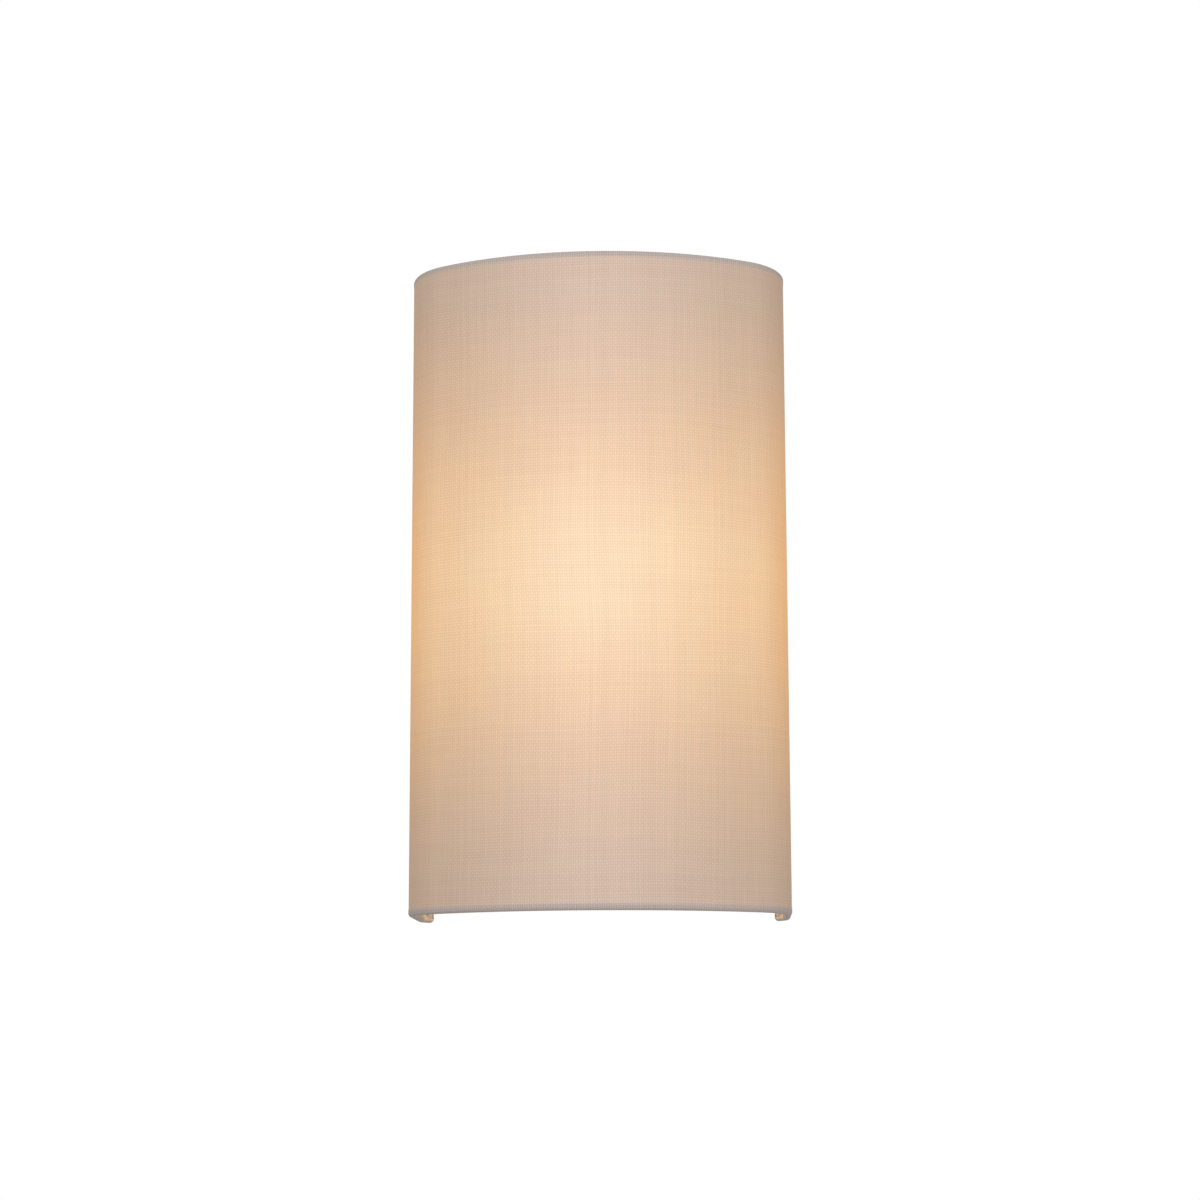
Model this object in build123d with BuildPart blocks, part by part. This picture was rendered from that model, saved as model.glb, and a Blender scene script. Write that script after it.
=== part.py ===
"""Half-round fabric shade wall light, in millimetres.

The wall is the plane y = 0 and the room lies towards -Y. X runs along the wall and Z is up.
The origin is the centre of the wall plate's back face. The shade is laminated cloth rolled
over a wire frame, and hangs on the wall plate by two cranked straps and two captive screws.
"""
import os
from math import atan2, cos, degrees, pi, radians, sin

from build123d import *

os.makedirs("parts", exist_ok=True)

# ------------------------------------------------------------------ driving dimensions
# shade, on the outside of the cloth
shade_width = 204.0
shade_height = 350.0
side_run = 50.0  # return, from the back edge to the widest line
back_radius = 12.0  # plan radius where a return turns in towards the wall
back_turn = 55.0  # how far it turns in, in degrees
corner_radius = 40.0  # plan radius from the straight return into the front
front_bulge = 18.0  # how far the shallow front arc reaches past the corner radius
wall_gap = 2.0  # wall to the back edge of the shade
cloth_thickness = 0.4
liner_thickness = 0.3
lamination = 0.05  # adhesive between cloth and liner
frame_wire = 3.0  # diameter of the rim wires and uprights
cloth_to_wire = 0.05
tuck_turn = 270.0  # how far the cloth goes round a wire before its raw edge, in degrees
cut_inward = 3.0  # cut in the tucked layers, from the upright's axis towards the inside
cut_outward = 0.5
cut_backward = 0.8  # and from the axis round towards the wall
weld_gap = 0.1  # frame wire to strap and to the next wire
liner_to_wire = 0.3

# cranked straps that carry the shade
strap_width = 15.0
strap_thickness = 1.5
strap_inset = 40.0  # shade's end to the centre of a strap
strap_depth = 12.0  # wall to the back of a strap at its middle
crank_start = 8.0  # from the upright to the first bend
crank_run = 12.0  # width of the crank
crank_radius = 4.0
notch_margin = 1.0  # gap in the rolled edge beside a strap
strap_to_liner = 0.4

# captive knurled screws
screw_thread = 3.9
screw_bore = 4.0
screw_waist = 3.1
screw_hole = 3.2
screw_reach = 7.0  # thread behind the strap
waist_relief = 0.6
knob_diameter = 12.0
knob_length = 7.0
collar_diameter = 8.0
collar_length = 1.0
knurl_count = 24
knurl_depth = 0.5

# wall plate and what is formed in it
plate_width = 90.0
plate_thickness = 1.5
plate_flange = 8.0
plate_bend = 2.0
plate_corner = 3.0
fixing_spread = 60.0  # slot to slot across
fixing_spacing = 184.0  # slot to slot up the plate
fixing_slot_length = 12.0
fixing_slot_width = 5.5
cable_height = 62.0
dish_rim = 18.0
dish_floor = 13.5
dish_depth = 3.5
dish_bend = 1.2
cable_hole = 16.0
grommet_bore = 10.0
grommet_lip = 22.0
grommet_lip_thickness = 1.8
grommet_edge = 1.0  # chamfer round a lip
grommet_groove = 15.9
earth_place = (35.0, -3.0)
earth_collar_diameter = 7.0
earth_collar_height = 2.5

# brackets and rivets
shade_bracket_width = 24.0
shade_bracket_thickness = 1.5
shade_bracket_foot = 16.0
shade_bracket_ledge = 24.0
nut_to_web = 13.0  # captive screw's axis to the bracket's web
shade_bracket_bend = 2.0
bracket_rivet_spread = 14.0
rivet_shank = 3.9
rivet_hole = 4.0
rivet_head = 7.0
rivet_dome = 1.6
rivet_tail = 6.2
rivet_sink = 6.3  # countersink in the plate's back
clinch_spigot = 5.5
clinch_hole = 5.6
clinch_body = 8.0
clinch_length = 4.5

# lampholder arm and holder
holder_axis = 56.0  # wall to the bulb's axis
arm_width = 30.0
arm_thickness = 2.0
arm_foot = 28.0
arm_bend = 3.0
arm_to_foot = 12.0  # lower shade bracket's foot to the arm's underside
arm_rivet_spread = 16.0
arm_rivet_height = 14.8  # above the arm's top face
bush_axis = 26.0
bush_hole = 8.2
bush_body = 8.1
bush_bore = 5.8
bush_flange = 12.0
bush_snap = 9.4
bush_flange_thickness = 1.2
bush_taper = 14.0  # of the snap end, degrees
nipple_outer = 9.9
nipple_hole = 10.1
nipple_bore = 7.5
nipple_length = 14.0
nipple_below = 7.0  # below the arm
nut_across_flats = 14.0
nut_height = 3.5
holder_diameter = 28.0
holder_wall = 1.8
holder_base_diameter = 20.0
holder_base_flare = 6.5
holder_cap_height = 16.0
holder_sleeve_height = 34.0
holder_mouth = 18.4
holder_lip = 2.0
holder_edge = 1.6  # rounding of the sleeve's mouth
spigot_length = 5.0
spigot_fit = 0.1
insert_fit = 0.2  # insert to the cap's spigot, to the sleeve and to the lip
boss_fit = 0.3  # insert's boss inside the spigot
insert_seat = 4.8
insert_boss = 7.0
insert_tube_wall = 1.3
shell_bore = 14.4
shell_wall = 0.4
shell_floor_hole = 9.6
shell_fit = 0.15
floor_fit = 0.1  # shell's floor above the insert's seat
leaf_width = 4.0
leaf_thickness = 0.5
leaf_margin = 0.6  # leaf's end to the hole in the shell's floor
leaf_flat = 1.0
leaf_fit = 0.05
terminal_offset = 6.0
terminal_hole = 2.4
terminal_depth = 8.0
terminal_screw = 2.9
terminal_screw_hole = 3.1

# bulb
globe_diameter = 45.0
globe_wall = 1.0
globe_rise = 83.0  # globe's centre above the arm
neck_start = 62.0  # where the neck leaves the sphere, degrees below its middle
neck_radius = 7.0
neck_end = 32.3  # below the globe's centre
cap_diameter = 13.8
cap_wall = 0.4
cap_collar_bore = 15.3
cap_top = 29.0  # below the globe's centre
cap_collar_length = 3.5
cap_bottom = 52.5
insulator_height = 2.1
insulator_tip = 6.4
contact_diameter = 5.2
contact_height = 0.9
contact_gap = 0.3

# terminal strip
pole_pitch = 10.0
block_height = 17.0
block_centre = 28.0
block_foot_depth = 6.0
block_body_width = 11.0
block_body_depth = 10.0
tower_diameter = 7.0
tower_depth = 13.5
tower_spread = 9.0
tube_axis_depth = 7.0  # from the plate's face
tube_outer = 4.2
tube_bore = 2.8
tube_fit = 0.1
clamp_screw = 2.6
clamp_screw_hole = 2.8
clamp_recess = 1.0  # screw's head below the tower's mouth
peg_diameter = 3.0
peg_hole = 3.2
peg_length = 1.2
block_corner = 1.0
pole_gap = 1.5  # between the poles, above the foot
tube_recess = 1.0  # tube's end inside the block

# wires
wire_diameter = 1.9
wire_pitch = 2.6
wire_end_gap = 0.3
screw_to_wire = 0.2  # end of a clamping screw to the wire
live_drop = 30.0  # below the block's centre, where the live wire turns towards the bush
neutral_drop = 36.0
bush_lead = 34.0  # above the arm, where both reach the bush's line
spread_start = 6.0  # above the arm, where they part inside the holder
spread_end = 12.5
loop_drop = 29.0  # loop's corners below the arm's top face
loop_radius = 14.5
run_radius = 60.0
lead_radius = 8.0
earth_bend = 9.6

# earth terminal
ring_diameter = 8.4
ring_thickness = 0.8
ring_neck = 2.0
barrel_length = 5.0
barrel_wall = 0.6
barrel_fit = 0.2
barrel_overlap = 1.0  # barrel into the ring's neck
washer_thickness = 1.0
washer_taper = 20.0
earth_hole = 4.2
earth_screw_clear = 0.4  # from the wall to the screw's end
earth_head = 7.0
earth_head_height = 2.4
recess_width = 1.0  # of the cross in the head
recess_length = 4.2
recess_angle = 30.0

# ------------------------------------------------------------------ derived places
half_width = shade_width / 2
half_height = shade_height / 2
strap_height = half_height - strap_inset  # centre of a strap above and below the middle
wire_r = frame_wire / 2
roll_r = wire_r + cloth_to_wire + cloth_thickness
roll_mid_r = roll_r - cloth_thickness / 2
wide_y = -(wall_gap + side_run)
back_x = half_width - back_radius
upright_y = -(wall_gap + roll_r)
back_y = upright_y - (back_radius - roll_r) * sin(radians(back_turn))
upright_x = back_x + (back_radius - roll_r) * cos(radians(back_turn))
rim_z = half_height - roll_r
corner_x = half_width - corner_radius
front_shift = (corner_x**2 - front_bulge**2) / (2 * front_bulge)
front_radius = corner_radius + front_bulge + front_shift
front_y = wide_y + front_shift
corner_turn = degrees(atan2(front_shift, corner_x))

web_z = strap_height - nut_to_web
foot_end = web_z - shade_bracket_foot
plate_height = 2 * (web_z + plate_corner)
arm_top = arm_to_foot + arm_thickness - foot_end
arm_under = arm_top - arm_thickness
globe_centre = arm_top + globe_rise
plate_face = -plate_thickness
strap_back_y = -strap_depth
strap_front_y = -(strap_depth + strap_thickness)
dish_face = -(dish_depth + plate_thickness)


def keep(piece, name):
    """Name a finished piece and write it to its own file."""
    piece.part.label = name
    export_step(piece.part, f"parts/{name}.step")


def draw_plan(inset, spare=0.0):
    """Plan line of the shade from its right upright to its left one, inset from the cloth's outside.

    It stops short of both uprights by the spare length.
    """
    side_x = half_width - inset
    end_turn = back_turn - degrees(spare / (back_radius - inset))
    CenterArc((back_x, back_y), back_radius - inset, end_turn, -end_turn)
    Line((side_x, back_y), (side_x, wide_y))
    CenterArc((corner_x, wide_y), corner_radius - inset, 0, -corner_turn)
    CenterArc((0, front_y), front_radius - inset, -corner_turn, 2 * corner_turn - 180)
    CenterArc((-corner_x, wide_y), corner_radius - inset, corner_turn - 180, -corner_turn)
    Line((-side_x, wide_y), (-side_x, back_y))
    CenterArc((-back_x, back_y), back_radius - inset, 180, -end_turn)


def upright_plane(side, level):
    """Plane square to the plan's end at an upright: X points out through the cloth, Y on towards the wall."""
    outward = (side * cos(radians(back_turn)), sin(radians(back_turn)), 0)
    return Plane(origin=(side * upright_x, upright_y, level), x_dir=outward, z_dir=(0, 0, side))


# ------------------------------------------------------------------ shade
# One cloth: the wall, its back edges turned round the uprights, its rims turned round the rim wires.
with BuildPart() as shade_fabric:
    with BuildSketch(Plane.XY.offset(-rim_z)):
        with BuildLine():
            CenterArc((upright_x, upright_y), roll_mid_r, back_turn + tuck_turn, -tuck_turn)
            draw_plan(cloth_thickness / 2)
            CenterArc((-upright_x, upright_y), roll_mid_r, 180 - back_turn, -tuck_turn)
        trace(line_width=cloth_thickness)
    extrude(amount=2 * rim_z)
    cut_width = cut_inward + cut_outward
    cut_length = cut_inward + cut_backward
    cut_place = ((cut_outward - cut_inward) / 2, (cut_backward - cut_inward) / 2)
    for up in (1, -1):
        for side in (1, -1):
            corner = upright_plane(side, up * rim_z)
            upright_section = Plane(origin=corner.origin, x_dir=corner.x_dir, z_dir=-side * corner.y_dir)
            if side > 0:
                # the rim's roll goes from this upright all the way round the plan
                with BuildSketch(upright_section):
                    with BuildLine():
                        CenterArc((0, 0), roll_mid_r, 0, up * tuck_turn)
                    trace(line_width=cloth_thickness)
                with BuildLine(Plane.XY.offset(up * rim_z)) as rim_path:
                    draw_plan(roll_r)
                sweep(path=rim_path.wire())
            # back corner: a quarter of a sphere joins the rim's roll to the back edge's roll
            with BuildSketch(upright_section):
                with BuildLine():
                    CenterArc((0, 0), roll_mid_r, 0, up * 180)
                trace(line_width=cloth_thickness)
            revolve(axis=Axis(corner.origin, -side * up * corner.x_dir), revolution_arc=90)
            # the tucked layers are cut away inside the corner and beside the strap
            with BuildSketch(upright_plane(side, up * rim_z)):
                with Locations(cut_place):
                    Rectangle(cut_width, cut_length)
            extrude(amount=-side * up * cut_inward, mode=Mode.SUBTRACT)
            with BuildSketch(upright_plane(side, up * strap_height)):
                with Locations(cut_place):
                    Rectangle(cut_width, cut_length)
            extrude(amount=strap_width / 2 + notch_margin, both=True, mode=Mode.SUBTRACT)
keep(shade_fabric, "shade_fabric")

liner_inset = cloth_thickness + lamination + liner_thickness / 2
liner_top = rim_z - wire_r - liner_to_wire
# its end stands clear of the wire, which lies nearer to the axis by most of the roll
liner_reach = wire_r + liner_to_wire + liner_thickness
liner_spare = (liner_reach**2 - (roll_r - liner_inset) ** 2) ** 0.5
with BuildPart() as shade_liner:
    with BuildSketch(Plane.XY.offset(-liner_top)):
        with BuildLine():
            draw_plan(liner_inset, liner_spare)
        trace(line_width=liner_thickness)
    extrude(amount=2 * liner_top)
keep(shade_liner, "shade_liner")

for name, level in (("top_rim_wire", rim_z), ("bottom_rim_wire", -rim_z)):
    with BuildPart() as rim_wire:
        with BuildLine(Plane.XY.offset(level)) as wire_path:
            draw_plan(roll_r, wire_r + weld_gap)
        route = wire_path.wire()
        with BuildSketch(Plane(origin=route @ 0, z_dir=route % 0)):
            Circle(wire_r)
        sweep(path=route)
    keep(rim_wire, name)

for name, side in (("right_upright", 1), ("left_upright", -1)):
    with BuildPart() as upright:
        with BuildSketch(Plane.XY.offset(-rim_z)):
            with Locations((side * upright_x, upright_y)):
                Circle(wire_r)
        extrude(amount=2 * rim_z)
        with Locations((side * upright_x, upright_y, rim_z), (side * upright_x, upright_y, -rim_z)):
            Sphere(wire_r)
    keep(upright, name)

strap_end_y = upright_y - wire_r - weld_gap - strap_thickness / 2
# the strap's end clears the lining where that turns in
strap_room = back_radius - cloth_thickness - lamination - liner_thickness - strap_to_liner
strap_end_x = back_x + (strap_room**2 - (strap_end_y + strap_thickness / 2 - back_y) ** 2) ** 0.5
strap_mid_y = -(strap_depth + strap_thickness / 2)
crank_x = upright_x - crank_start
for name, level in (("upper_cross_strap", strap_height), ("lower_cross_strap", -strap_height)):
    with BuildPart() as strap:
        with BuildSketch(Plane.XY.offset(level)):
            with BuildLine():
                FilletPolyline(
                    (strap_end_x, strap_end_y),
                    (crank_x, strap_end_y),
                    (crank_x - crank_run, strap_mid_y),
                    (crank_run - crank_x, strap_mid_y),
                    (-crank_x, strap_end_y),
                    (-strap_end_x, strap_end_y),
                    radius=crank_radius,
                )
            trace(line_width=strap_thickness)
        extrude(amount=strap_width / 2, both=True)
        with BuildSketch(Plane.XZ.offset(-strap_mid_y)):
            with Locations((0, level)):
                Circle(screw_hole / 2)
        extrude(amount=strap_thickness, both=True, mode=Mode.SUBTRACT)
    keep(strap, name)

# Captive screws: the waist turns in the strap's hole, which the thread can't pass.
for name, level in (("upper_thumb_screw", strap_height), ("lower_thumb_screw", -strap_height)):
    seat = Plane(origin=(0, strap_front_y, level), x_dir=(1, 0, 0), z_dir=(0, -1, 0))
    waist_end = strap_thickness + waist_relief
    with BuildPart() as thumb_screw:
        with BuildSketch(seat):
            Circle(collar_diameter / 2)
        extrude(amount=collar_length)
        with BuildSketch(seat.offset(collar_length)):
            Circle(knob_diameter / 2)
            with PolarLocations(knob_diameter / 2, knurl_count):
                Rectangle(knurl_depth * 2**0.5, knurl_depth * 2**0.5, rotation=45, mode=Mode.SUBTRACT)
        extrude(amount=knob_length)
        with BuildSketch(seat.offset(collar_length + knob_length)):
            Circle(knob_diameter / 2 - 2 * knurl_depth)
        extrude(amount=knurl_depth)
        with BuildSketch(seat):
            Circle(screw_waist / 2)
        extrude(amount=-waist_end)
        with BuildSketch(seat.offset(-waist_end)):
            Circle(screw_thread / 2)
        extrude(amount=-screw_reach)
        tip = thumb_screw.faces().sort_by(Axis.Y)[-1]
        chamfer(tip.edges(), length=screw_thread / 8)
    keep(thumb_screw, name)

# ------------------------------------------------------------------ wall plate
with BuildPart() as wall_plate:
    edge_x = (plate_width - plate_thickness) / 2
    with BuildSketch(Plane.XY.offset(-plate_height / 2)):
        with BuildLine():
            FilletPolyline(
                (edge_x, -plate_flange),
                (edge_x, plate_face / 2),
                (-edge_x, plate_face / 2),
                (-edge_x, -plate_flange),
                radius=plate_bend,
            )
        trace(line_width=plate_thickness)
    extrude(amount=plate_height)
    flange_corners = wall_plate.edges().filter_by(Axis.X).group_by(Axis.Y)[0]
    fillet(flange_corners, radius=plate_corner)
    # dished cable entry: the floor stands forward, so that the grommet clears the wall
    with BuildSketch(Plane.XZ):
        with Locations((0, cable_height)):
            Circle(dish_rim)
    extrude(amount=plate_thickness, mode=Mode.SUBTRACT)
    with BuildSketch(Plane.YZ):
        with BuildLine():
            FilletPolyline(
                (plate_face / 2, cable_height + dish_rim),
                (plate_face / 2, cable_height + dish_floor + dish_depth),
                (plate_face / 2 - dish_depth, cable_height + dish_floor),
                (plate_face / 2 - dish_depth, cable_height + cable_hole / 2),
                radius=dish_bend,
            )
        trace(line_width=plate_thickness)
    revolve(axis=Axis((0, 0, cable_height), (0, 1, 0)))
    # earth collar, drawn forward for its thread
    earth_x, earth_z = earth_place
    with BuildSketch(Plane.XZ.offset(plate_thickness)):
        with Locations(earth_place):
            Circle(earth_collar_diameter / 2)
    extrude(amount=earth_collar_height)
    with BuildSketch(Plane.XZ):
        with Locations(earth_place):
            Circle(screw_bore / 2)
        with GridLocations(fixing_spread, fixing_spacing, 2, 2):
            SlotOverall(fixing_slot_length, fixing_slot_width)
        with Locations((pole_pitch / 2, block_centre), (-pole_pitch / 2, block_centre)):
            Circle(peg_hole / 2)
    extrude(amount=plate_thickness + earth_collar_height, mode=Mode.SUBTRACT)
    rivet_places = [
        (side * bracket_rivet_spread / 2, up * (web_z - shade_bracket_foot / 2))
        for up in (1, -1)
        for side in (1, -1)
    ]
    arm_rivet_z = arm_top + arm_rivet_height
    arm_places = [(side * arm_rivet_spread / 2, arm_rivet_z) for side in (1, -1)]
    with Locations(*[Plane(origin=(x, 0, z), z_dir=(0, 1, 0)) for x, z in rivet_places + arm_places]):
        CounterSinkHole(rivet_hole / 2, rivet_sink / 2, depth=3 * plate_thickness, counter_sink_angle=90)
keep(wall_plate, "wall_plate")


def draw_dome(rim, base, rise):
    """Arc of a spherical dome, from its rim at the level of base down to its top on the axis."""
    radius = (rim**2 + rise**2) / (2 * rise)
    start = degrees(atan2(rise - radius, rim))
    CenterArc((0, base - rise + radius), radius, start, -90 - start)


def draw_rivet(stack):
    """Half profile of a rivet, flush with the plate's back, that clamps a stack of the given thickness."""
    shank = rivet_shank / 2
    tail = rivet_tail / 2
    head = rivet_head / 2
    Polyline((0, 0), (tail, 0), (shank, shank - tail), (shank, -stack), (head, -stack))
    draw_dome(head, -stack, rivet_dome)
    Line((0, -stack - rivet_dome), (0, 0))


for name, places, stack in (
    ("shade_bracket_rivets", rivet_places, plate_thickness + shade_bracket_thickness),
    ("lampholder_rivets", arm_places, plate_thickness + arm_thickness),
):
    with BuildPart() as rivets:
        for x, z in places:
            with BuildSketch(Plane(origin=(x, 0, z), x_dir=(1, 0, 0), z_dir=(0, 0, 1))):
                with BuildLine():
                    draw_rivet(stack)
                make_face()
            revolve(axis=Axis((x, 0, z), (0, 1, 0)))
    keep(rivets, name)

# ------------------------------------------------------------------ shade brackets and their nuts
foot_y = plate_face - shade_bracket_thickness / 2
ledge_y = strap_back_y + shade_bracket_thickness / 2
for name, up in (("upper_shade_bracket", 1), ("lower_shade_bracket", -1)):
    with BuildPart() as bracket:
        with BuildSketch(Plane.YZ):
            with BuildLine():
                FilletPolyline(
                    (foot_y, up * foot_end),
                    (foot_y, up * web_z),
                    (ledge_y, up * web_z),
                    (ledge_y, up * (web_z + shade_bracket_ledge)),
                    radius=shade_bracket_bend,
                )
            trace(line_width=shade_bracket_thickness)
        extrude(amount=shade_bracket_width / 2, both=True)
        free_end = bracket.faces().sort_by(Axis.Z)[-1 if up > 0 else 0]
        fillet(free_end.edges().filter_by(Axis.Y), radius=plate_corner)
        with BuildSketch(Plane.XZ):
            with Locations(*[place for place in rivet_places if place[1] * up > 0]):
                Circle(rivet_hole / 2)
        extrude(amount=plate_thickness + 2 * shade_bracket_thickness, mode=Mode.SUBTRACT)
        with BuildSketch(Plane.XZ.offset(strap_depth)):
            with Locations((0, up * strap_height)):
                Circle(clinch_hole / 2)
        extrude(amount=-2 * shade_bracket_thickness, mode=Mode.SUBTRACT)
    keep(bracket, name)

with BuildPart() as clinch_nuts:
    for level in (strap_height, -strap_height):
        with BuildSketch(Plane.XZ.offset(strap_depth)):
            with Locations((0, level)):
                Circle(clinch_spigot / 2)
        extrude(amount=-shade_bracket_thickness)
        with BuildSketch(Plane.XZ.offset(strap_depth - shade_bracket_thickness)):
            with Locations((0, level)):
                RegularPolygon(clinch_body / 2, 6, major_radius=False)
        extrude(amount=-clinch_length)
        with BuildSketch(Plane.XZ.offset(strap_depth)):
            with Locations((0, level)):
                Circle(screw_bore / 2)
        extrude(amount=-(shade_bracket_thickness + clinch_length), mode=Mode.SUBTRACT)
keep(clinch_nuts, "clinch_nuts")

# ------------------------------------------------------------------ cable grommet
with BuildPart() as cable_grommet:
    groove_r = grommet_groove / 2
    lip_r = grommet_lip / 2
    lip_back = grommet_lip_thickness - dish_depth
    lip_front = dish_face - grommet_lip_thickness
    with BuildSketch(Plane.XY.offset(cable_height)):
        with BuildLine():
            Polyline(
                (grommet_bore / 2, lip_back),
                (lip_r - grommet_edge, lip_back),
                (lip_r, lip_back - grommet_edge),
                (lip_r, -dish_depth),
                (groove_r, -dish_depth),
                (groove_r, dish_face),
                (lip_r, dish_face),
                (lip_r, lip_front + grommet_edge),
                (lip_r - grommet_edge, lip_front),
                (grommet_bore / 2, lip_front),
                close=True,
            )
        make_face()
    revolve(axis=Axis((0, 0, cable_height), (0, 1, 0)))
keep(cable_grommet, "cable_grommet")

# ------------------------------------------------------------------ lampholder arm
arm_nose = holder_axis + arm_width / 2
with BuildPart() as lampholder_bracket:
    foot_line = plate_face - arm_thickness / 2
    leg_z = arm_top - arm_thickness / 2
    with BuildSketch(Plane.YZ):
        with BuildLine():
            FilletPolyline(
                (foot_line, leg_z + arm_foot),
                (foot_line, leg_z),
                (-arm_nose, leg_z),
                radius=arm_bend,
            )
        trace(line_width=arm_thickness)
    extrude(amount=arm_width / 2, both=True)
    # rounded nose, concentric with the holder
    with BuildSketch(Plane.XY.offset(leg_z - arm_width)):
        with Locations((0, -holder_axis / 2)):
            Rectangle(arm_width, holder_axis)
        with Locations((0, -holder_axis)):
            Circle(arm_width / 2)
    extrude(amount=arm_foot + 2 * arm_width, mode=Mode.INTERSECT)
    with BuildSketch(Plane.XY.offset(arm_top)):
        with Locations((0, -holder_axis)):
            Circle(nipple_hole / 2)
        with Locations((0, -bush_axis)):
            Circle(bush_hole / 2)
    extrude(amount=-arm_thickness, mode=Mode.SUBTRACT)
    with BuildSketch(Plane.XZ):
        with Locations(*arm_places):
            Circle(rivet_hole / 2)
    extrude(amount=plate_thickness + arm_thickness, mode=Mode.SUBTRACT)
    foot_top = lampholder_bracket.faces().sort_by(Axis.Z)[-1]
    fillet(foot_top.edges().filter_by(Axis.Y), radius=plate_corner)
keep(lampholder_bracket, "lampholder_bracket")

with BuildPart() as wire_bush:
    with BuildSketch(Plane.XY.offset(arm_top)):
        with Locations((0, -bush_axis)):
            Circle(bush_flange / 2)
    extrude(amount=bush_flange_thickness)
    with BuildSketch(Plane.XY.offset(arm_top)):
        with Locations((0, -bush_axis)):
            Circle(bush_body / 2)
    extrude(amount=-arm_thickness)
    with BuildSketch(Plane.XY.offset(arm_under)):
        with Locations((0, -bush_axis)):
            Circle(bush_snap / 2)
    extrude(amount=-2 * bush_flange_thickness, taper=bush_taper)
    with BuildSketch(Plane.XY.offset(arm_under - 2 * bush_flange_thickness)):
        with Locations((0, -bush_axis)):
            Circle(bush_bore / 2)
    extrude(amount=arm_thickness + 3 * bush_flange_thickness, mode=Mode.SUBTRACT)
keep(wire_bush, "wire_bush")

with BuildPart() as threaded_nipple:
    with BuildSketch(Plane.XY.offset(arm_under - nipple_below)):
        with Locations((0, -holder_axis)):
            Circle(nipple_outer / 2)
            Circle(nipple_bore / 2, mode=Mode.SUBTRACT)
    extrude(amount=nipple_length)
keep(threaded_nipple, "threaded_nipple")

with BuildPart() as nipple_nut:
    with BuildSketch(Plane.XY.offset(arm_under)):
        with Locations((0, -holder_axis)):
            RegularPolygon(nut_across_flats / 2, 6, major_radius=False)
            Circle(nipple_hole / 2, mode=Mode.SUBTRACT)
    extrude(amount=-nut_height)
keep(nipple_nut, "nipple_nut")

# ------------------------------------------------------------------ lampholder, turned about the bulb's axis
holder_plane = Plane(origin=(0, -holder_axis, 0), x_dir=(1, 0, 0), z_dir=(0, -1, 0))
bulb_line = Axis((0, -holder_axis, 0), (0, 0, 1))
outer_r = holder_diameter / 2
bore_r = outer_r - holder_wall
spigot_r = bore_r - spigot_fit
joint_z = arm_top + holder_cap_height
spigot_top = joint_z + spigot_length
mouth_z = joint_z + holder_sleeve_height
with BuildPart() as lampholder_cap:
    with BuildSketch(holder_plane):
        with BuildLine():
            Polyline(
                (nipple_hole / 2, arm_top),
                (holder_base_diameter / 2, arm_top),
                (outer_r, arm_top + holder_base_flare),
                (outer_r, joint_z),
                (spigot_r, joint_z),
                (spigot_r, spigot_top),
                (spigot_r - holder_wall, spigot_top),
                (spigot_r - holder_wall, arm_top + holder_base_flare + holder_wall),
                (holder_base_diameter / 2 - holder_wall, arm_top + 2 * holder_wall),
                (nipple_hole / 2, arm_top + 2 * holder_wall),
                close=True,
            )
        make_face()
    revolve(axis=bulb_line)
keep(lampholder_cap, "lampholder_cap")

with BuildPart() as lampholder_sleeve:
    with BuildSketch(holder_plane) as sleeve_profile:
        with BuildLine():
            Polyline(
                (bore_r, joint_z),
                (outer_r, joint_z),
                (outer_r, mouth_z),
                (holder_mouth / 2, mouth_z),
                (holder_mouth / 2, mouth_z - holder_lip),
                (bore_r, mouth_z - holder_lip),
                close=True,
            )
        make_face()
        fillet(sleeve_profile.vertices().group_by(Axis.Z)[-1].sort_by(Axis.X)[-1], radius=holder_edge)
    revolve(axis=bulb_line)
keep(lampholder_sleeve, "lampholder_sleeve")

insert_base = spigot_top + insert_fit
boss_base = insert_base - insert_boss
boss_r = spigot_r - holder_wall - boss_fit
seat_r = bore_r - insert_fit
insert_top = insert_base + insert_seat
shell_r = shell_bore / 2
tube_in = shell_r + shell_wall + shell_fit
tube_top = mouth_z - holder_lip - insert_fit
tube_out = tube_in + insert_tube_wall
terminal_places = [(side * terminal_offset, insert_base - insert_boss / 2) for side in (1, -1)]
with BuildPart() as lampholder_insert:
    with BuildSketch(holder_plane):
        with BuildLine():
            Polyline(
                (0, boss_base),
                (boss_r, boss_base),
                (boss_r, insert_base),
                (seat_r, insert_base),
                (seat_r, insert_top),
                (tube_out, insert_top),
                (tube_out, tube_top),
                (tube_in, tube_top),
                (tube_in, insert_top),
                (0, insert_top),
                close=True,
            )
        make_face()
    revolve(axis=bulb_line)
    with BuildSketch(Plane.XY.offset(boss_base)):
        with Locations((terminal_offset, -holder_axis), (-terminal_offset, -holder_axis)):
            Circle(terminal_hole / 2)
    extrude(amount=terminal_depth, mode=Mode.SUBTRACT)
    with BuildSketch(Plane.XZ.offset(holder_axis)):
        with Locations(*terminal_places):
            Circle(terminal_screw_hole / 2)
    extrude(amount=outer_r, mode=Mode.SUBTRACT)
keep(lampholder_insert, "lampholder_insert")

with BuildPart() as lampholder_screws:
    screw_start = wire_diameter / 2 + screw_to_wire
    screw_length = (boss_r**2 - (terminal_offset + terminal_screw / 2) ** 2) ** 0.5 - screw_start
    with BuildSketch(Plane.XZ.offset(holder_axis + screw_start)):
        with Locations(*terminal_places):
            Circle(terminal_screw / 2)
    extrude(amount=screw_length)
    with BuildSketch(Plane.XZ.offset(holder_axis + screw_start + screw_length)):
        with Locations(*terminal_places):
            Rectangle(2 * terminal_screw, terminal_screw / 4)
    extrude(amount=-terminal_screw / 4, mode=Mode.SUBTRACT)
keep(lampholder_screws, "lampholder_screws")

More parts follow.
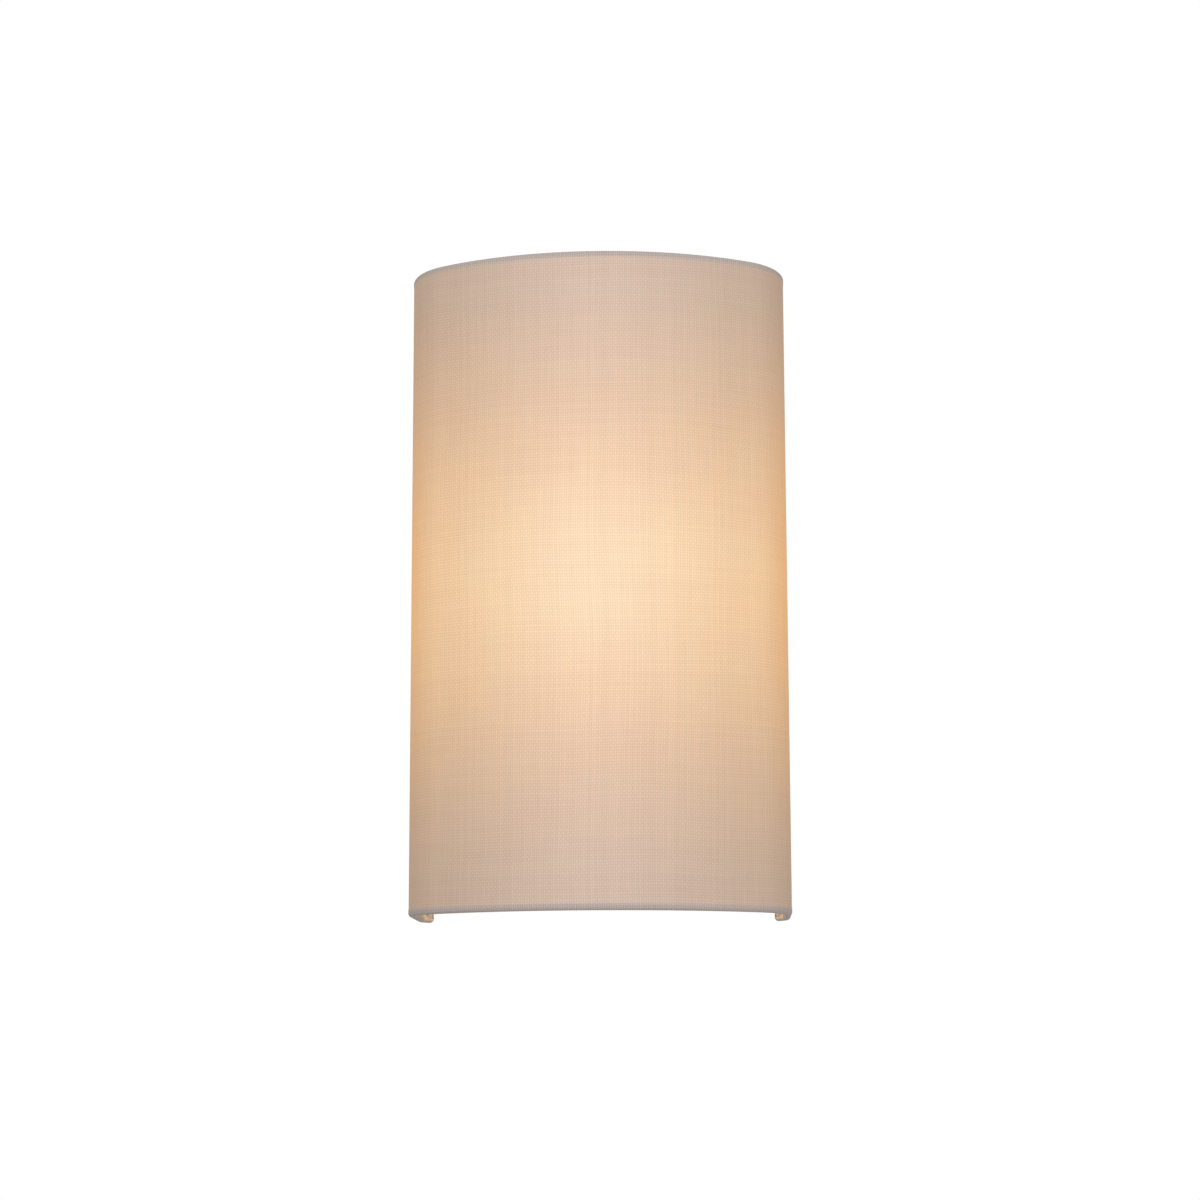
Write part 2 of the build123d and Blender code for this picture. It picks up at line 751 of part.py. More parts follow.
with BuildPart() as lampholder_shell:
    shell_floor = insert_top + floor_fit
    with BuildSketch(holder_plane):
        with BuildLine():
            Polyline(
                (shell_floor_hole / 2, shell_floor),
                (shell_r + shell_wall, shell_floor),
                (shell_r + shell_wall, tube_top),
                (shell_r, tube_top),
                (shell_r, shell_floor + shell_wall),
                (shell_floor_hole / 2, shell_floor + shell_wall),
                close=True,
            )
        make_face()
    revolve(axis=bulb_line)
keep(lampholder_shell, "lampholder_shell")

bulb_tip = globe_centre - cap_bottom - insulator_height - contact_height
with BuildPart() as lampholder_contact:
    leaf_top = bulb_tip - contact_gap
    leaf_half = shell_floor_hole / 2 - leaf_margin
    leaf_bend = leaf_half - leaf_flat
    leaf_rest = insert_top + leaf_thickness / 2 + leaf_fit
    with BuildSketch(holder_plane):
        with BuildLine():
            Line((leaf_half, leaf_rest), (leaf_bend, leaf_rest))
            ThreePointArc((leaf_bend, leaf_rest), (0, leaf_top - leaf_thickness / 2), (-leaf_bend, leaf_rest))
            Line((-leaf_bend, leaf_rest), (-leaf_half, leaf_rest))
        trace(line_width=leaf_thickness)
    extrude(amount=leaf_width / 2, both=True)
keep(lampholder_contact, "lampholder_contact")

# ------------------------------------------------------------------ bulb
with BuildPart() as bulb_globe:
    mid_r = (globe_diameter - globe_wall) / 2
    leave_x = mid_r * cos(radians(neck_start))
    leave_z = globe_centre - mid_r * sin(radians(neck_start))
    blend_r = (leave_x - neck_radius) / (1 - cos(radians(neck_start)))
    blend_z = leave_z - blend_r * sin(radians(neck_start))
    with BuildSketch(holder_plane):
        with BuildLine():
            CenterArc((0, globe_centre), mid_r, 90, -(90 + neck_start))
            CenterArc((neck_radius + blend_r, blend_z), blend_r, 180 - neck_start, neck_start)
            Line((neck_radius, blend_z), (neck_radius, globe_centre - neck_end))
        trace(line_width=globe_wall)
    revolve(axis=bulb_line)
keep(bulb_globe, "bulb_globe")

cap_r = cap_diameter / 2
with BuildPart() as bulb_cap:
    collar_r = cap_collar_bore / 2
    collar_z = globe_centre - cap_top - cap_collar_length
    with BuildSketch(holder_plane):
        with BuildLine():
            Polyline(
                (collar_r + cap_wall / 2, globe_centre - cap_top),
                (collar_r + cap_wall / 2, collar_z),
                (cap_r - cap_wall / 2, collar_z - cap_collar_length / 4),
                (cap_r - cap_wall / 2, globe_centre - cap_bottom),
            )
        trace(line_width=cap_wall)
    revolve(axis=bulb_line)
keep(bulb_cap, "bulb_cap")

with BuildPart() as bulb_insulator:
    with BuildSketch(holder_plane):
        with BuildLine():
            Polyline(
                (0, globe_centre - cap_bottom),
                (cap_r - cap_wall / 2, globe_centre - cap_bottom),
                (insulator_tip / 2, globe_centre - cap_bottom - insulator_height),
                (0, globe_centre - cap_bottom - insulator_height),
                close=True,
            )
        make_face()
    revolve(axis=bulb_line)
keep(bulb_insulator, "bulb_insulator")

with BuildPart() as bulb_contact:
    with BuildSketch(holder_plane):
        with BuildLine():
            Polyline(
                (0, bulb_tip),
                (0, bulb_tip + contact_height),
                (contact_diameter / 2, bulb_tip + contact_height),
            )
            draw_dome(contact_diameter / 2, bulb_tip + contact_height, contact_height)
        make_face()
    revolve(axis=bulb_line)
keep(bulb_contact, "bulb_contact")

# ------------------------------------------------------------------ terminal strip
pole_x = [-pole_pitch, 0, pole_pitch]
tube_y = plate_face - tube_axis_depth
tower_places = [(x, block_centre + end * tower_spread / 2) for x in pole_x for end in (1, -1)]
with BuildPart() as terminal_block:
    with BuildSketch(Plane.XZ.offset(plate_thickness)):
        with Locations((0, block_centre)):
            RectangleRounded(3 * pole_pitch, block_body_width, block_corner)
    extrude(amount=block_foot_depth)
    for x in pole_x:
        with BuildSketch(Plane.XZ.offset(plate_thickness)):
            with Locations((x, block_centre)):
                RectangleRounded(pole_pitch - pole_gap, block_height, block_corner)
        extrude(amount=block_body_depth)
    with BuildSketch(Plane.XZ.offset(plate_thickness)):
        with Locations(*tower_places):
            Circle(tower_diameter / 2)
    extrude(amount=tower_depth)
    with BuildSketch(Plane.XZ.offset(plate_thickness)):
        with Locations((pole_pitch / 2, block_centre), (-pole_pitch / 2, block_centre)):
            Circle(peg_diameter / 2)
    extrude(amount=-peg_length)
    with BuildSketch(Plane.XY.offset(block_centre - block_height / 2)):
        with Locations(*[(x, tube_y) for x in pole_x]):
            Circle(tube_outer / 2 + tube_fit)
    extrude(amount=block_height, mode=Mode.SUBTRACT)
    with BuildSketch(Plane.XZ.offset(-tube_y)):
        with Locations(*tower_places):
            Circle(clamp_screw_hole / 2)
    extrude(amount=tower_depth, mode=Mode.SUBTRACT)
keep(terminal_block, "terminal_block")

with BuildPart() as terminal_tubes:
    with BuildSketch(Plane.XY.offset(block_centre - block_height / 2 + tube_recess)):
        with Locations(*[(x, tube_y) for x in pole_x]):
            Circle(tube_outer / 2)
            Circle(tube_bore / 2, mode=Mode.SUBTRACT)
    extrude(amount=block_height - 2 * tube_recess)
    with BuildSketch(Plane.XZ.offset(-tube_y)):
        with Locations(*tower_places):
            Circle(clamp_screw_hole / 2)
    extrude(amount=tower_depth, mode=Mode.SUBTRACT)
keep(terminal_tubes, "terminal_tubes")

with BuildPart() as terminal_screws:
    clamp_start = -tube_y + wire_diameter / 2 + screw_to_wire
    clamp_length = tower_depth + plate_thickness - clamp_start - clamp_recess
    with BuildSketch(Plane.XZ.offset(clamp_start)):
        with Locations(*tower_places):
            Circle(clamp_screw / 2)
    extrude(amount=clamp_length)
    with BuildSketch(Plane.XZ.offset(clamp_start + clamp_length)):
        with Locations(*tower_places):
            Rectangle(2 * clamp_screw, clamp_screw / 4)
    extrude(amount=-clamp_screw / 4, mode=Mode.SUBTRACT)
keep(terminal_screws, "terminal_screws")

# ------------------------------------------------------------------ earth terminal
collar_y = plate_face - earth_collar_height
barrel_r = wire_diameter / 2 + barrel_fit + barrel_wall
barrel_y = collar_y - barrel_r
ring_front = collar_y - ring_thickness
barrel_end = earth_x - ring_diameter / 2 - ring_neck
with BuildPart() as earth_ring_terminal:
    with BuildSketch(Plane.XZ.offset(-collar_y)):
        with Locations(earth_place):
            Circle(ring_diameter / 2)
        with Locations((barrel_end + ring_diameter / 2, earth_z)):
            Rectangle(ring_diameter, 2 * barrel_r)
        with Locations(earth_place):
            Circle(earth_hole / 2, mode=Mode.SUBTRACT)
    extrude(amount=ring_thickness)
    with BuildSketch(Plane.YZ.offset(barrel_end - barrel_length)):
        with Locations((barrel_y, earth_z)):
            Circle(barrel_r)
    extrude(amount=barrel_length + barrel_overlap)
    with BuildSketch(Plane.YZ.offset(barrel_end - barrel_length)):
        with Locations((barrel_y, earth_z)):
            Circle(barrel_r - barrel_wall)
    extrude(amount=barrel_length, mode=Mode.SUBTRACT)
keep(earth_ring_terminal, "earth_ring_terminal")

with BuildPart() as earth_cup_washer:
    with BuildSketch(Plane.XZ.offset(-ring_front)):
        with Locations(earth_place):
            Circle(ring_diameter / 2)
            Circle(earth_hole / 2, mode=Mode.SUBTRACT)
    extrude(amount=washer_thickness, taper=washer_taper)
keep(earth_cup_washer, "earth_cup_washer")

washer_front = ring_front - washer_thickness
with BuildPart() as earth_screw:
    with BuildSketch(Plane.XZ.offset(earth_screw_clear)):
        with Locations(earth_place):
            Circle(screw_thread / 2)
    extrude(amount=-washer_front - earth_screw_clear)
    with BuildSketch(Plane.XZ.offset(-washer_front)):
        with Locations(earth_place):
            Circle(earth_head / 2)
    extrude(amount=earth_head_height)
    head_rim = earth_screw.faces().sort_by(Axis.Y)[0]
    fillet(head_rim.edges(), radius=earth_head_height / 3)
    with BuildSketch(Plane.XZ.offset(-washer_front + earth_head_height)):
        with Locations(earth_place):
            Rectangle(recess_length, recess_width, rotation=recess_angle)
            Rectangle(recess_width, recess_length, rotation=recess_angle)
    extrude(amount=-earth_head_height / 2, mode=Mode.SUBTRACT)
keep(earth_screw, "earth_screw")

# ------------------------------------------------------------------ internal wires, held at both ends
wire_top = block_centre - clamp_screw
loop_bottom = arm_top - loop_drop
side_x = wire_pitch / 2
lead_end = boss_base + terminal_depth - wire_end_gap
routes = {}
for name, side, pole, drop in (
    ("live_wire", -1, -pole_pitch, live_drop),
    ("neutral_wire", 1, 0, neutral_drop),
):
    points = [
        (pole, tube_y, wire_top),
        (pole, tube_y, block_centre - drop),
        (side * side_x, -bush_axis, arm_top + bush_lead),
        (side * side_x, -bush_axis, loop_bottom),
        (side * side_x, -holder_axis, loop_bottom),
        (side * side_x, -holder_axis, arm_top + spread_start),
        (side * terminal_offset, -holder_axis, arm_top + spread_end),
        (side * terminal_offset, -holder_axis, lead_end),
    ]
    routes[name] = (points, [run_radius, run_radius, loop_radius, loop_radius, lead_radius, lead_radius])
earth_points = [
    (pole_pitch, tube_y, wire_top),
    (pole_pitch, tube_y, block_centre - block_height),
    (pole_pitch, barrel_y, earth_z),
    (barrel_end - wire_end_gap, barrel_y, earth_z),
]
routes["earth_wire"] = (earth_points, [run_radius / 2, earth_bend])
for name, (points, radii) in routes.items():
    with BuildPart() as wire:
        with BuildLine() as route:
            FilletPolyline(*points, radius=radii)
        with BuildSketch(Plane(origin=points[0], z_dir=Vector(*points[1]) - Vector(*points[0]))):
            Circle(wire_diameter / 2)
        sweep(path=route.wire())
    expected = pi * wire_diameter**2 / 4 * route.wire().length
    ratio = wire.part.volume / expected
    print(f"{name}: length {route.wire().length:.1f}, radii {radii}, volume {ratio:.4f} of it")
    keep(wire, name)
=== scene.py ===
"""Dresses the half-round fabric wall light.

The cloth is shaped here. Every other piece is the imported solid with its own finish. Lengths are
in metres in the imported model's frame: the wall is y = 0, the room lies towards -Y and Z is up.
"""
from math import atan2, cos, pi, radians, sin

import bmesh
import bpy
from bpy.props import FloatProperty, FloatVectorProperty, IntProperty, PointerProperty
from mathutils import Matrix, Vector


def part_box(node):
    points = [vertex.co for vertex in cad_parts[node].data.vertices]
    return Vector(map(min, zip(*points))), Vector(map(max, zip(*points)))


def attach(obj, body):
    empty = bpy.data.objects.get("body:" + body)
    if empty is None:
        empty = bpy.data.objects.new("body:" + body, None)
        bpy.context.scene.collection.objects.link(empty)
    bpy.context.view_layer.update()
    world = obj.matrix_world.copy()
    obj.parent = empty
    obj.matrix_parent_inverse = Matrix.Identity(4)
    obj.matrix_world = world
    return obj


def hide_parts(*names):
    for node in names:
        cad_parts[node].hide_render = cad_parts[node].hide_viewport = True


bl_info = {
    "name": "Half-round fabric wall light",
    "version": (1, 0, 0),
    "blender": (4, 5, 0),
    "location": "3D View > Sidebar > Wall light",
    "description": "Builds the finished look of a half-round fabric shade on its wall plate",
    "category": "Object",
}

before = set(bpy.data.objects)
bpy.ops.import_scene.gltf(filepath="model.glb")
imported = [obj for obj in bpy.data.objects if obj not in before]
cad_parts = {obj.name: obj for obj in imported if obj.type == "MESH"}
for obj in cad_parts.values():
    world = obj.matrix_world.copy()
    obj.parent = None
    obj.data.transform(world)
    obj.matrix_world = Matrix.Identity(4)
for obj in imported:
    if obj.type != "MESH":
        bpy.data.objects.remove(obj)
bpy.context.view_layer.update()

shade_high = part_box("shade_fabric")[1]
rim_low, rim_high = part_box("top_rim_wire")
globe_low, globe_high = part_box("bulb_globe")
wire_r = (rim_high.z - rim_low.z) / 2
half_width = shade_high.x
upright_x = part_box("right_upright")[1].x - wire_r
upright_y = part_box("right_upright")[1].y - wire_r
rim_z = (rim_low.z + rim_high.z) / 2
roll_r = shade_high.z - rim_z
strap_low, strap_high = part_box("upper_cross_strap")

# faces along each stretch of the cloth
back_steps = 10
straight_steps = 5
corner_steps = 14
front_steps = 40
wall_steps = 12
cap_steps = 9

# slack in comparing heights, and how near two points count as one
height_slack = 1e-6
seam_gap = 1e-5
double_gap = 1e-7


# ------------------------------------------------------------------ what a user may change
class ShadeSizes(bpy.types.PropertyGroup):
    """Sizes of the cloth and its plan."""

    side_run: FloatProperty(
        name="Side run",
        description="Straight return from the wall gap to the widest line",
        default=0.050,
        unit="LENGTH",
    )
    wall_gap: FloatProperty(
        name="Wall gap",
        description="Wall to the shade's back edge",
        default=0.002,
        unit="LENGTH",
    )
    back_radius: FloatProperty(
        name="Back radius",
        description="Plan radius where a return turns in at the wall",
        default=0.012,
        unit="LENGTH",
    )
    back_turn: FloatProperty(
        name="Back turn",
        description="How far a return turns in at the wall",
        default=radians(55),
        unit="ROTATION",
    )
    corner_radius: FloatProperty(
        name="Corner radius",
        description="Plan radius from the returns into the front",
        default=0.040,
        unit="LENGTH",
    )
    front_bulge: FloatProperty(
        name="Front bulge",
        description="How far the front arc reaches past the corner radius",
        default=0.018,
        unit="LENGTH",
    )
    cloth: FloatProperty(
        name="Cloth",
        description="Thickness of the cloth",
        default=0.0004,
        unit="LENGTH",
    )
    rim_proud: FloatProperty(
        name="Rim proud",
        description="How far a rolled edge stands proud of the wall",
        default=0.00015,
        unit="LENGTH",
    )
    roll_steps: IntProperty(
        name="Roll steps",
        description="Faces along the turned edge",
        default=27,
    )
    roll_turn: FloatProperty(
        name="Roll turn",
        description="How far the cloth goes round a wire",
        default=radians(270),
        unit="ROTATION",
    )
    cut_inward: FloatProperty(
        name="Cut inward",
        description="Cut in the tucked layers, from an upright inwards",
        default=0.003,
        unit="LENGTH",
    )
    cut_outward: FloatProperty(
        name="Cut outward",
        description="Cut in the tucked layers, from an upright outwards",
        default=0.0005,
        unit="LENGTH",
    )
    cut_backward: FloatProperty(
        name="Cut backward",
        description="Cut in the tucked layers, from an upright on round",
        default=0.0008,
        unit="LENGTH",
    )
    notch_margin: FloatProperty(
        name="Notch margin",
        description="Gap in the rolled edge beside a strap",
        default=0.001,
        unit="LENGTH",
    )


class ShadeLooks(bpy.types.PropertyGroup):
    """Colours of the cloth and its painted glow."""

    linen: FloatVectorProperty(
        name="Linen",
        description="Colour of the cloth with the lamp off",
        default=(0.42, 0.352, 0.31),
        size=3,
        subtype="COLOR",
    )
    rolled: FloatVectorProperty(
        name="Rolled edge",
        description="Colour of the cloth turned over the wires",
        default=(0.425, 0.373, 0.350),
        size=3,
        subtype="COLOR",
    )
    # painted light: base colour of the returns where the bulb lights them
    painted_amber: FloatVectorProperty(
        name="Amber",
        description="Colour of the cloth at the returns beside the bulb",
        default=(0.42, 0.315, 0.265),
        size=3,
        subtype="COLOR",
    )
    # painted light through the cloth, given as emission: seep, side seep, glow and core
    seep: FloatVectorProperty(
        name="Seep",
        description="Light that comes through the cloth all over",
        default=(0.188, 0.127, 0.098),
        size=3,
        subtype="COLOR",
    )
    side_seep: FloatVectorProperty(
        name="Side seep",
        description="The same at the returns, which the bulb lights less",
        default=(0.095, 0.05, 0.018),
        size=3,
        subtype="COLOR",
    )
    glow: FloatVectorProperty(
        name="Glow",
        description="Light that comes through the cloth round the bulb",
        default=(0.37, 0.163, 0.0),
        size=3,
        subtype="COLOR",
    )
    core: FloatVectorProperty(
        name="Core",
        description="What makes the glow paler right in front of the bulb",
        default=(0.0, 0.095, 0.095),
        size=3,
        subtype="COLOR",
    )
    # painted light on the tucked sides of the rolls, given as emission
    inside: FloatVectorProperty(
        name="Inside",
        description="Light on the turned edges that face the bulb",
        default=(0.42, 0.26, 0.08),
        size=3,
        subtype="COLOR",
    )
    glow_spread: FloatProperty(
        name="Glow spread",
        description="How far up and down the glow reaches",
        default=0.12,
        unit="LENGTH",
    )
    core_spread: FloatProperty(
        name="Core spread",
        description="How far up and down the paler middle reaches",
        default=0.06,
        unit="LENGTH",
    )
    glow_lift: FloatProperty(
        name="Glow lift",
        description="Middle of the glow above the middle of the bulb",
        default=0.014,
        unit="LENGTH",
    )
    warp_pitch: FloatProperty(
        name="Warp pitch",
        description="Upright threads, one to the next",
        default=0.00122,
        unit="LENGTH",
    )
    weft_pitch: FloatProperty(
        name="Weft pitch",
        description="Level threads, one to the next",
        default=0.0015,
        unit="LENGTH",
    )


class StageSettings(bpy.types.PropertyGroup):
    """Camera, lamps and floor."""

    camera_place: FloatVectorProperty(
        name="Camera place",
        description="Where the camera stands",
        default=(0.0662, -1.53823, -0.26335),
        size=3,
        subtype="TRANSLATION",
        unit="LENGTH",
    )
    pitch: FloatProperty(
        name="Pitch",
        description="Camera above level",
        default=0.17253,
        unit="ROTATION",
    )
    yaw: FloatProperty(
        name="Yaw",
        description="Camera turned to the right",
        default=-0.04418,
        unit="ROTATION",
    )
    roll: FloatProperty(
        name="Roll",
        description="Camera rolled",
        default=-0.00278,
        unit="ROTATION",
    )
    lens: FloatProperty(
        name="Lens",
        description="Focal length on a 36 mm frame, in mm",
        default=83.507,
    )
    room_light: FloatProperty(
        name="Room light",
        description="Light from all round on the object",
        default=0.45,
    )
    key_power: FloatProperty(
        name="Key lamp",
        description="Soft lamp in front on the left",
        default=11.0,
        unit="POWER",
    )
    fill_power: FloatProperty(
        name="Fill lamp",
        description="Soft lamp in front on the right",
        default=6.0,
        unit="POWER",
    )
    lamp_size: FloatProperty(
        name="Lamp size",
        description="Side of each square lamp",
        default=0.9,
        unit="LENGTH",
    )
    floor_drop: FloatProperty(
        name="Floor",
        description="Floor below the plate's centre",
        default=0.75,
        unit="LENGTH",
    )


# ------------------------------------------------------------------ node trees as arithmetic
class Signal:
    """A node's output that can be added to and multiplied by numbers and other signals."""

    def __init__(self, nodes, socket):
        self.nodes = nodes
        self.socket = socket

    def maths(self, operation, *others):
        """This signal and any others through one Math node."""
        values = dict(enumerate((self, *others)))
        return self.nodes.add("Math", {"operation": operation}, values)

    def __add__(self, other):
        return self.maths("ADD", other)

    __radd__ = __add__

    def __sub__(self, other):
        return self.maths("SUBTRACT", other)

    def __rsub__(self, other):
        return self * -1 + other

    def __mul__(self, other):
        return self.maths("MULTIPLY", other)

    __rmul__ = __mul__

    def __truediv__(self, other):
        return self.maths("DIVIDE", other)

    def __abs__(self):
        return self.maths("ABSOLUTE")

    def ramp(self, start, end):
        """0 before start, 1 after end, smooth between."""
        values = {0: self, 1: start, 2: end, 3: 0.0, 4: 1.0}
        return self.nodes.add("MapRange", {"interpolation_type": "SMOOTHSTEP"}, values)


class Nodes:
    """Adds nodes to one tree."""

    def __init__(self, tree):
        self.tree = tree

    def feed(self, socket, value):
        """Links a signal to a socket, or sets the socket to a plain value."""
        if isinstance(value, Signal):
            self.tree.links.new(value.socket, socket)
        elif socket.type == "VECTOR":
            socket.default_value = value[:3]
        else:
            socket.default_value = value

    def add(self, kind, settings=None, values=None, output=0):
        """A node of a kind. Its settings come first, then its sockets, by name or number."""
        made = self.tree.nodes.new("ShaderNode" + kind)
        for name, value in (settings or {}).items():
            setattr(made, name, value)
        for name, value in (values or {}).items():
            self.feed(made.inputs[name], value)
        return Signal(self, made.outputs[output])

    def split(self, vector):
        """The three parts of a vector."""
        parts = self.add("SeparateXYZ", None, {0: vector})
        return [Signal(self, socket) for socket in parts.socket.node.outputs]

    def join(self, x, y, z=0.0):
        """A vector from its parts."""
        return self.add("CombineXYZ", None, {0: x, 1: y, 2: z})

    def blend(self, factor, first, second, kind="MIX"):
        """Mix of two colours."""
        settings = {"data_type": "RGBA", "blend_type": kind}
        return self.add("Mix", settings, {0: factor, 6: first, 7: second}, output=2)

    def cloud(self, place, scale, detail=2.0):
        """Soft noise from 0 to 1 at a place."""
        return self.add("TexNoise", None, {"Vector": place, "Scale": scale, "Detail": detail})

    def cells(self, place, scale):
        """Distance from the middle of the nearest cell, at a place."""
        return self.add("TexVoronoi", None, {"Vector": place, "Scale": scale})

    def scaled(self, vector, factor):
        """A colour times a signal."""
        return self.add("VectorMath", {"operation": "SCALE"}, {0: vector, "Scale": factor})

    def plus(self, first, second):
        """Two colours added."""
        return self.add("VectorMath", {"operation": "ADD"}, {0: first, 1: second})


class Finish(Nodes):
    """One material. Fixed numbers go straight onto the shader's sockets."""

    def __init__(self, name, **fixed):
        self.material = bpy.data.materials.new(name)
        self.material.use_nodes = True
        super().__init__(self.material.node_tree)
        self.shader = self.tree.nodes["Principled BSDF"]
        for socket, value in fixed.items():
            self.shader.inputs[socket.replace("_", " ")].default_value = value

    def place(self):
        """Where a point is on the object."""
        return self.add("TexCoord", output="Object")

    def surface(self, **values):
        """Feeds what varies over the surface."""
        for socket, value in values.items():
            self.feed(self.shader.inputs[socket.replace("_", " ")], value)

    def relief(self, height, depth):
        """A bump from a height signal, its depth in metres."""
        bump = self.add("Bump", None, {"Height": height, "Distance": depth})
        self.feed(self.shader.inputs["Normal"], bump)


def opaque(colour):
    """A colour with its alpha."""
    return (*colour, 1.0)


def wear(colour, factor):
    """A colour made lighter or darker."""
    return (*(min(1.0, part * factor) for part in colour), 1.0)


# ------------------------------------------------------------------ finishes
def powder_coat(name, colour):
    """White powder coat: fine orange peel, a little dust in broad patches."""
    coat = Finish(name, Coat_Weight=0.25, Coat_Roughness=0.25)
    place = coat.place()
    peel = coat.cloud(place, scale=1100.0, detail=2.0)
    dust = coat.cloud(place, scale=38.0, detail=4.0).ramp(0.42, 0.7)
    coat.surface(
        Base_Color=coat.blend(dust, opaque(colour), wear(colour, 0.93)),
        Roughness=0.34 + 0.12 * dust + 0.08 * coat.cloud(place, scale=400.0),
    )
    coat.relief(peel, depth=0.00003)
    return coat.material


def nickel_plate(name, colour, pitch, axis):
    """Turned nickel plate: lathe lines round axis 0 (X), 1 or 2 (Z), and duller finger marks."""
    plate = Finish(name, Metallic=1.0)
    place = plate.place()
    along = plate.split(place)[axis]
    turns = {"W": along * (1 / pitch), "Scale": 1.0, "Detail": 2.0}
    lines = plate.add("TexNoise", {"noise_dimensions": "1D"}, turns)
    marks = plate.cloud(place, scale=130.0, detail=3.0).ramp(0.4, 0.68)
    plate.surface(
        Base_Color=plate.blend(marks * 0.5, opaque(colour), wear(colour, 0.82)),
        Roughness=0.2 + 0.14 * lines + 0.12 * marks,
    )
    plate.relief(lines, depth=0.00001)
    return plate.material


def zinc_plate(name, colour):
    """Zinc plate: small bright and dull crystals with a faint straw tint."""
    plate = Finish(name, Metallic=1.0)
    place = plate.place()
    spangle = plate.cells(place, scale=900.0).ramp(0.0, 0.8)
    tint = plate.cloud(place, scale=160.0, detail=3.0).ramp(0.35, 0.65)
    straw = (colour[0] * 1.04, colour[1], colour[2] * 0.88, 1.0)
    plate.surface(
        Base_Color=plate.blend(tint, opaque(colour), straw),
        Roughness=0.3 + 0.16 * spangle + 0.06 * tint,
    )
    plate.relief(spangle, depth=0.000008)
    return plate.material


def bright_brass(name, colour):
    """Pressed brass: drawn lines, darker where it has tarnished."""
    brass = Finish(name, Metallic=1.0)
    place = brass.place()
    x, y, z = brass.split(place)
    across, lengthwise = 900, 60
    stretched = brass.join(x * across, y * across, z * lengthwise)
    drawn = brass.cloud(stretched, scale=1.0, detail=2.0)
    tarnish = brass.cloud(place, scale=140.0, detail=4.0).ramp(0.45, 0.72)
    dark = (colour[0] * 0.62, colour[1] * 0.52, colour[2] * 0.4, 1.0)
    brass.surface(
        Base_Color=brass.blend(tarnish * 0.6, opaque(colour), dark),
        Roughness=0.22 + 0.12 * drawn + 0.16 * tarnish,
    )
    brass.relief(drawn, depth=0.000008)
    return brass.material


def moulding(name, colour, roughness=0.38):
    """Moulded plastic: spark-eroded grain with faint flow marks."""
    plastic = Finish(name, IOR=1.49)
    place = plastic.place()
    grain = plastic.cloud(place, scale=2600.0, detail=1.0)
    flow = plastic.cloud(place, scale=55.0, detail=3.0).ramp(0.35, 0.7)
    plastic.surface(
        Base_Color=plastic.blend(flow, opaque(colour), wear(colour, 0.95)),
        Roughness=roughness + 0.08 * grain + 0.05 * flow,
    )
    plastic.relief(grain, depth=0.000015)
    return plastic.material


def unglazed_ceramic(name, colour):
    """Pressed ceramic: fine pits and a grey bloom."""
    body = Finish(name, IOR=1.55)
    place = body.place()
    pits = body.cells(place, scale=1500.0).ramp(0.05, 0.3)
    bloom = body.cloud(place, scale=90.0, detail=4.0).ramp(0.4, 0.7)
    body.surface(
        Base_Color=body.blend(bloom, opaque(colour), wear(colour, 0.9)),
        Roughness=0.66 + 0.14 * bloom,
    )
    body.relief(pits, depth=0.00002)
    return body.material


def black_rubber(name, colour):
    """Soft rubber: matt, with a pale dusty bloom."""
    rubber = Finish(name, Specular_IOR_Level=0.35)
    place = rubber.place()
    bloom = rubber.cloud(place, scale=210.0, detail=4.0).ramp(0.42, 0.75)
    dusty = (0.12, 0.115, 0.11, 1.0)
    rubber.surface(
        Base_Color=rubber.blend(bloom * 0.5, opaque(colour), dusty),
        Roughness=0.62 + 0.2 * bloom,
    )
    rubber.relief(rubber.cloud(place, scale=1800.0, detail=2.0), depth=0.00003)
    return rubber.material


def wire_sleeve(name, colour, stripe=None):
    """Extruded insulation: satin, faintly drawn, with a stripe along one side if it has one."""
    sleeve = Finish(name, IOR=1.5)
    place = sleeve.place()
    smear = sleeve.cloud(place, scale=300.0, detail=3.0)
    body = sleeve.blend(smear.ramp(0.4, 0.7), opaque(colour), wear(colour, 0.86))
    if stripe:
        face_x, face_y, face_z = sleeve.split(sleeve.add("TexCoord", output="Normal"))
        side = (face_x + face_z * 0.6 - face_y * 0.4).ramp(0.12, 0.16)
        body = sleeve.blend(side, body, opaque(stripe))
    sleeve.surface(Base_Color=body, Roughness=0.32 + 0.12 * smear)
    sleeve.relief(smear, depth=0.00001)
    return sleeve.material


def dark_glass(name):
    """Fused black glass of the bulb's insulator."""
    glass = Finish(name, IOR=1.52)
    place = glass.place()
    swirl = glass.cloud(place, scale=420.0, detail=3.0)
    near_black, smoky = (0.012, 0.012, 0.016, 1.0), (0.05, 0.045, 0.06, 1.0)
    glass.surface(
        Base_Color=glass.blend(swirl, near_black, smoky),
        Roughness=0.12 + 0.18 * swirl,
    )
    glass.relief(swirl, depth=0.00002)
    return glass.material


def opal_globe(name, strength):
    """Lit opal glass: brightest round its middle, warmer towards the neck."""
    opal = Finish(name, IOR=1.5, Emission_Strength=strength)
    place = opal.place()
    _, _, z = opal.split(place)
    neck_high = globe_high.z - 0.020
    neck = z.ramp(neck_high, globe_low.z)
    haze = opal.cloud(place, scale=70.0, detail=3.0)
    opal.surface(
        Base_Color=opal.blend(neck, (0.93, 0.90, 0.84, 1.0), (0.84, 0.79, 0.70, 1.0)),
        Emission_Color=opal.blend(neck, (1.0, 0.80, 0.50, 1.0), (0.55, 0.36, 0.17, 1.0)),
        Roughness=0.22 + 0.10 * haze,
    )
    return opal.material


def bell(z, lift, spread):
    """1 at a lift above the bulb's middle, falling off smoothly above and below."""
    step = (z - (globe_low.z + globe_high.z) / 2 - lift) / spread
    return (step * step * -1).maths("EXPONENT")


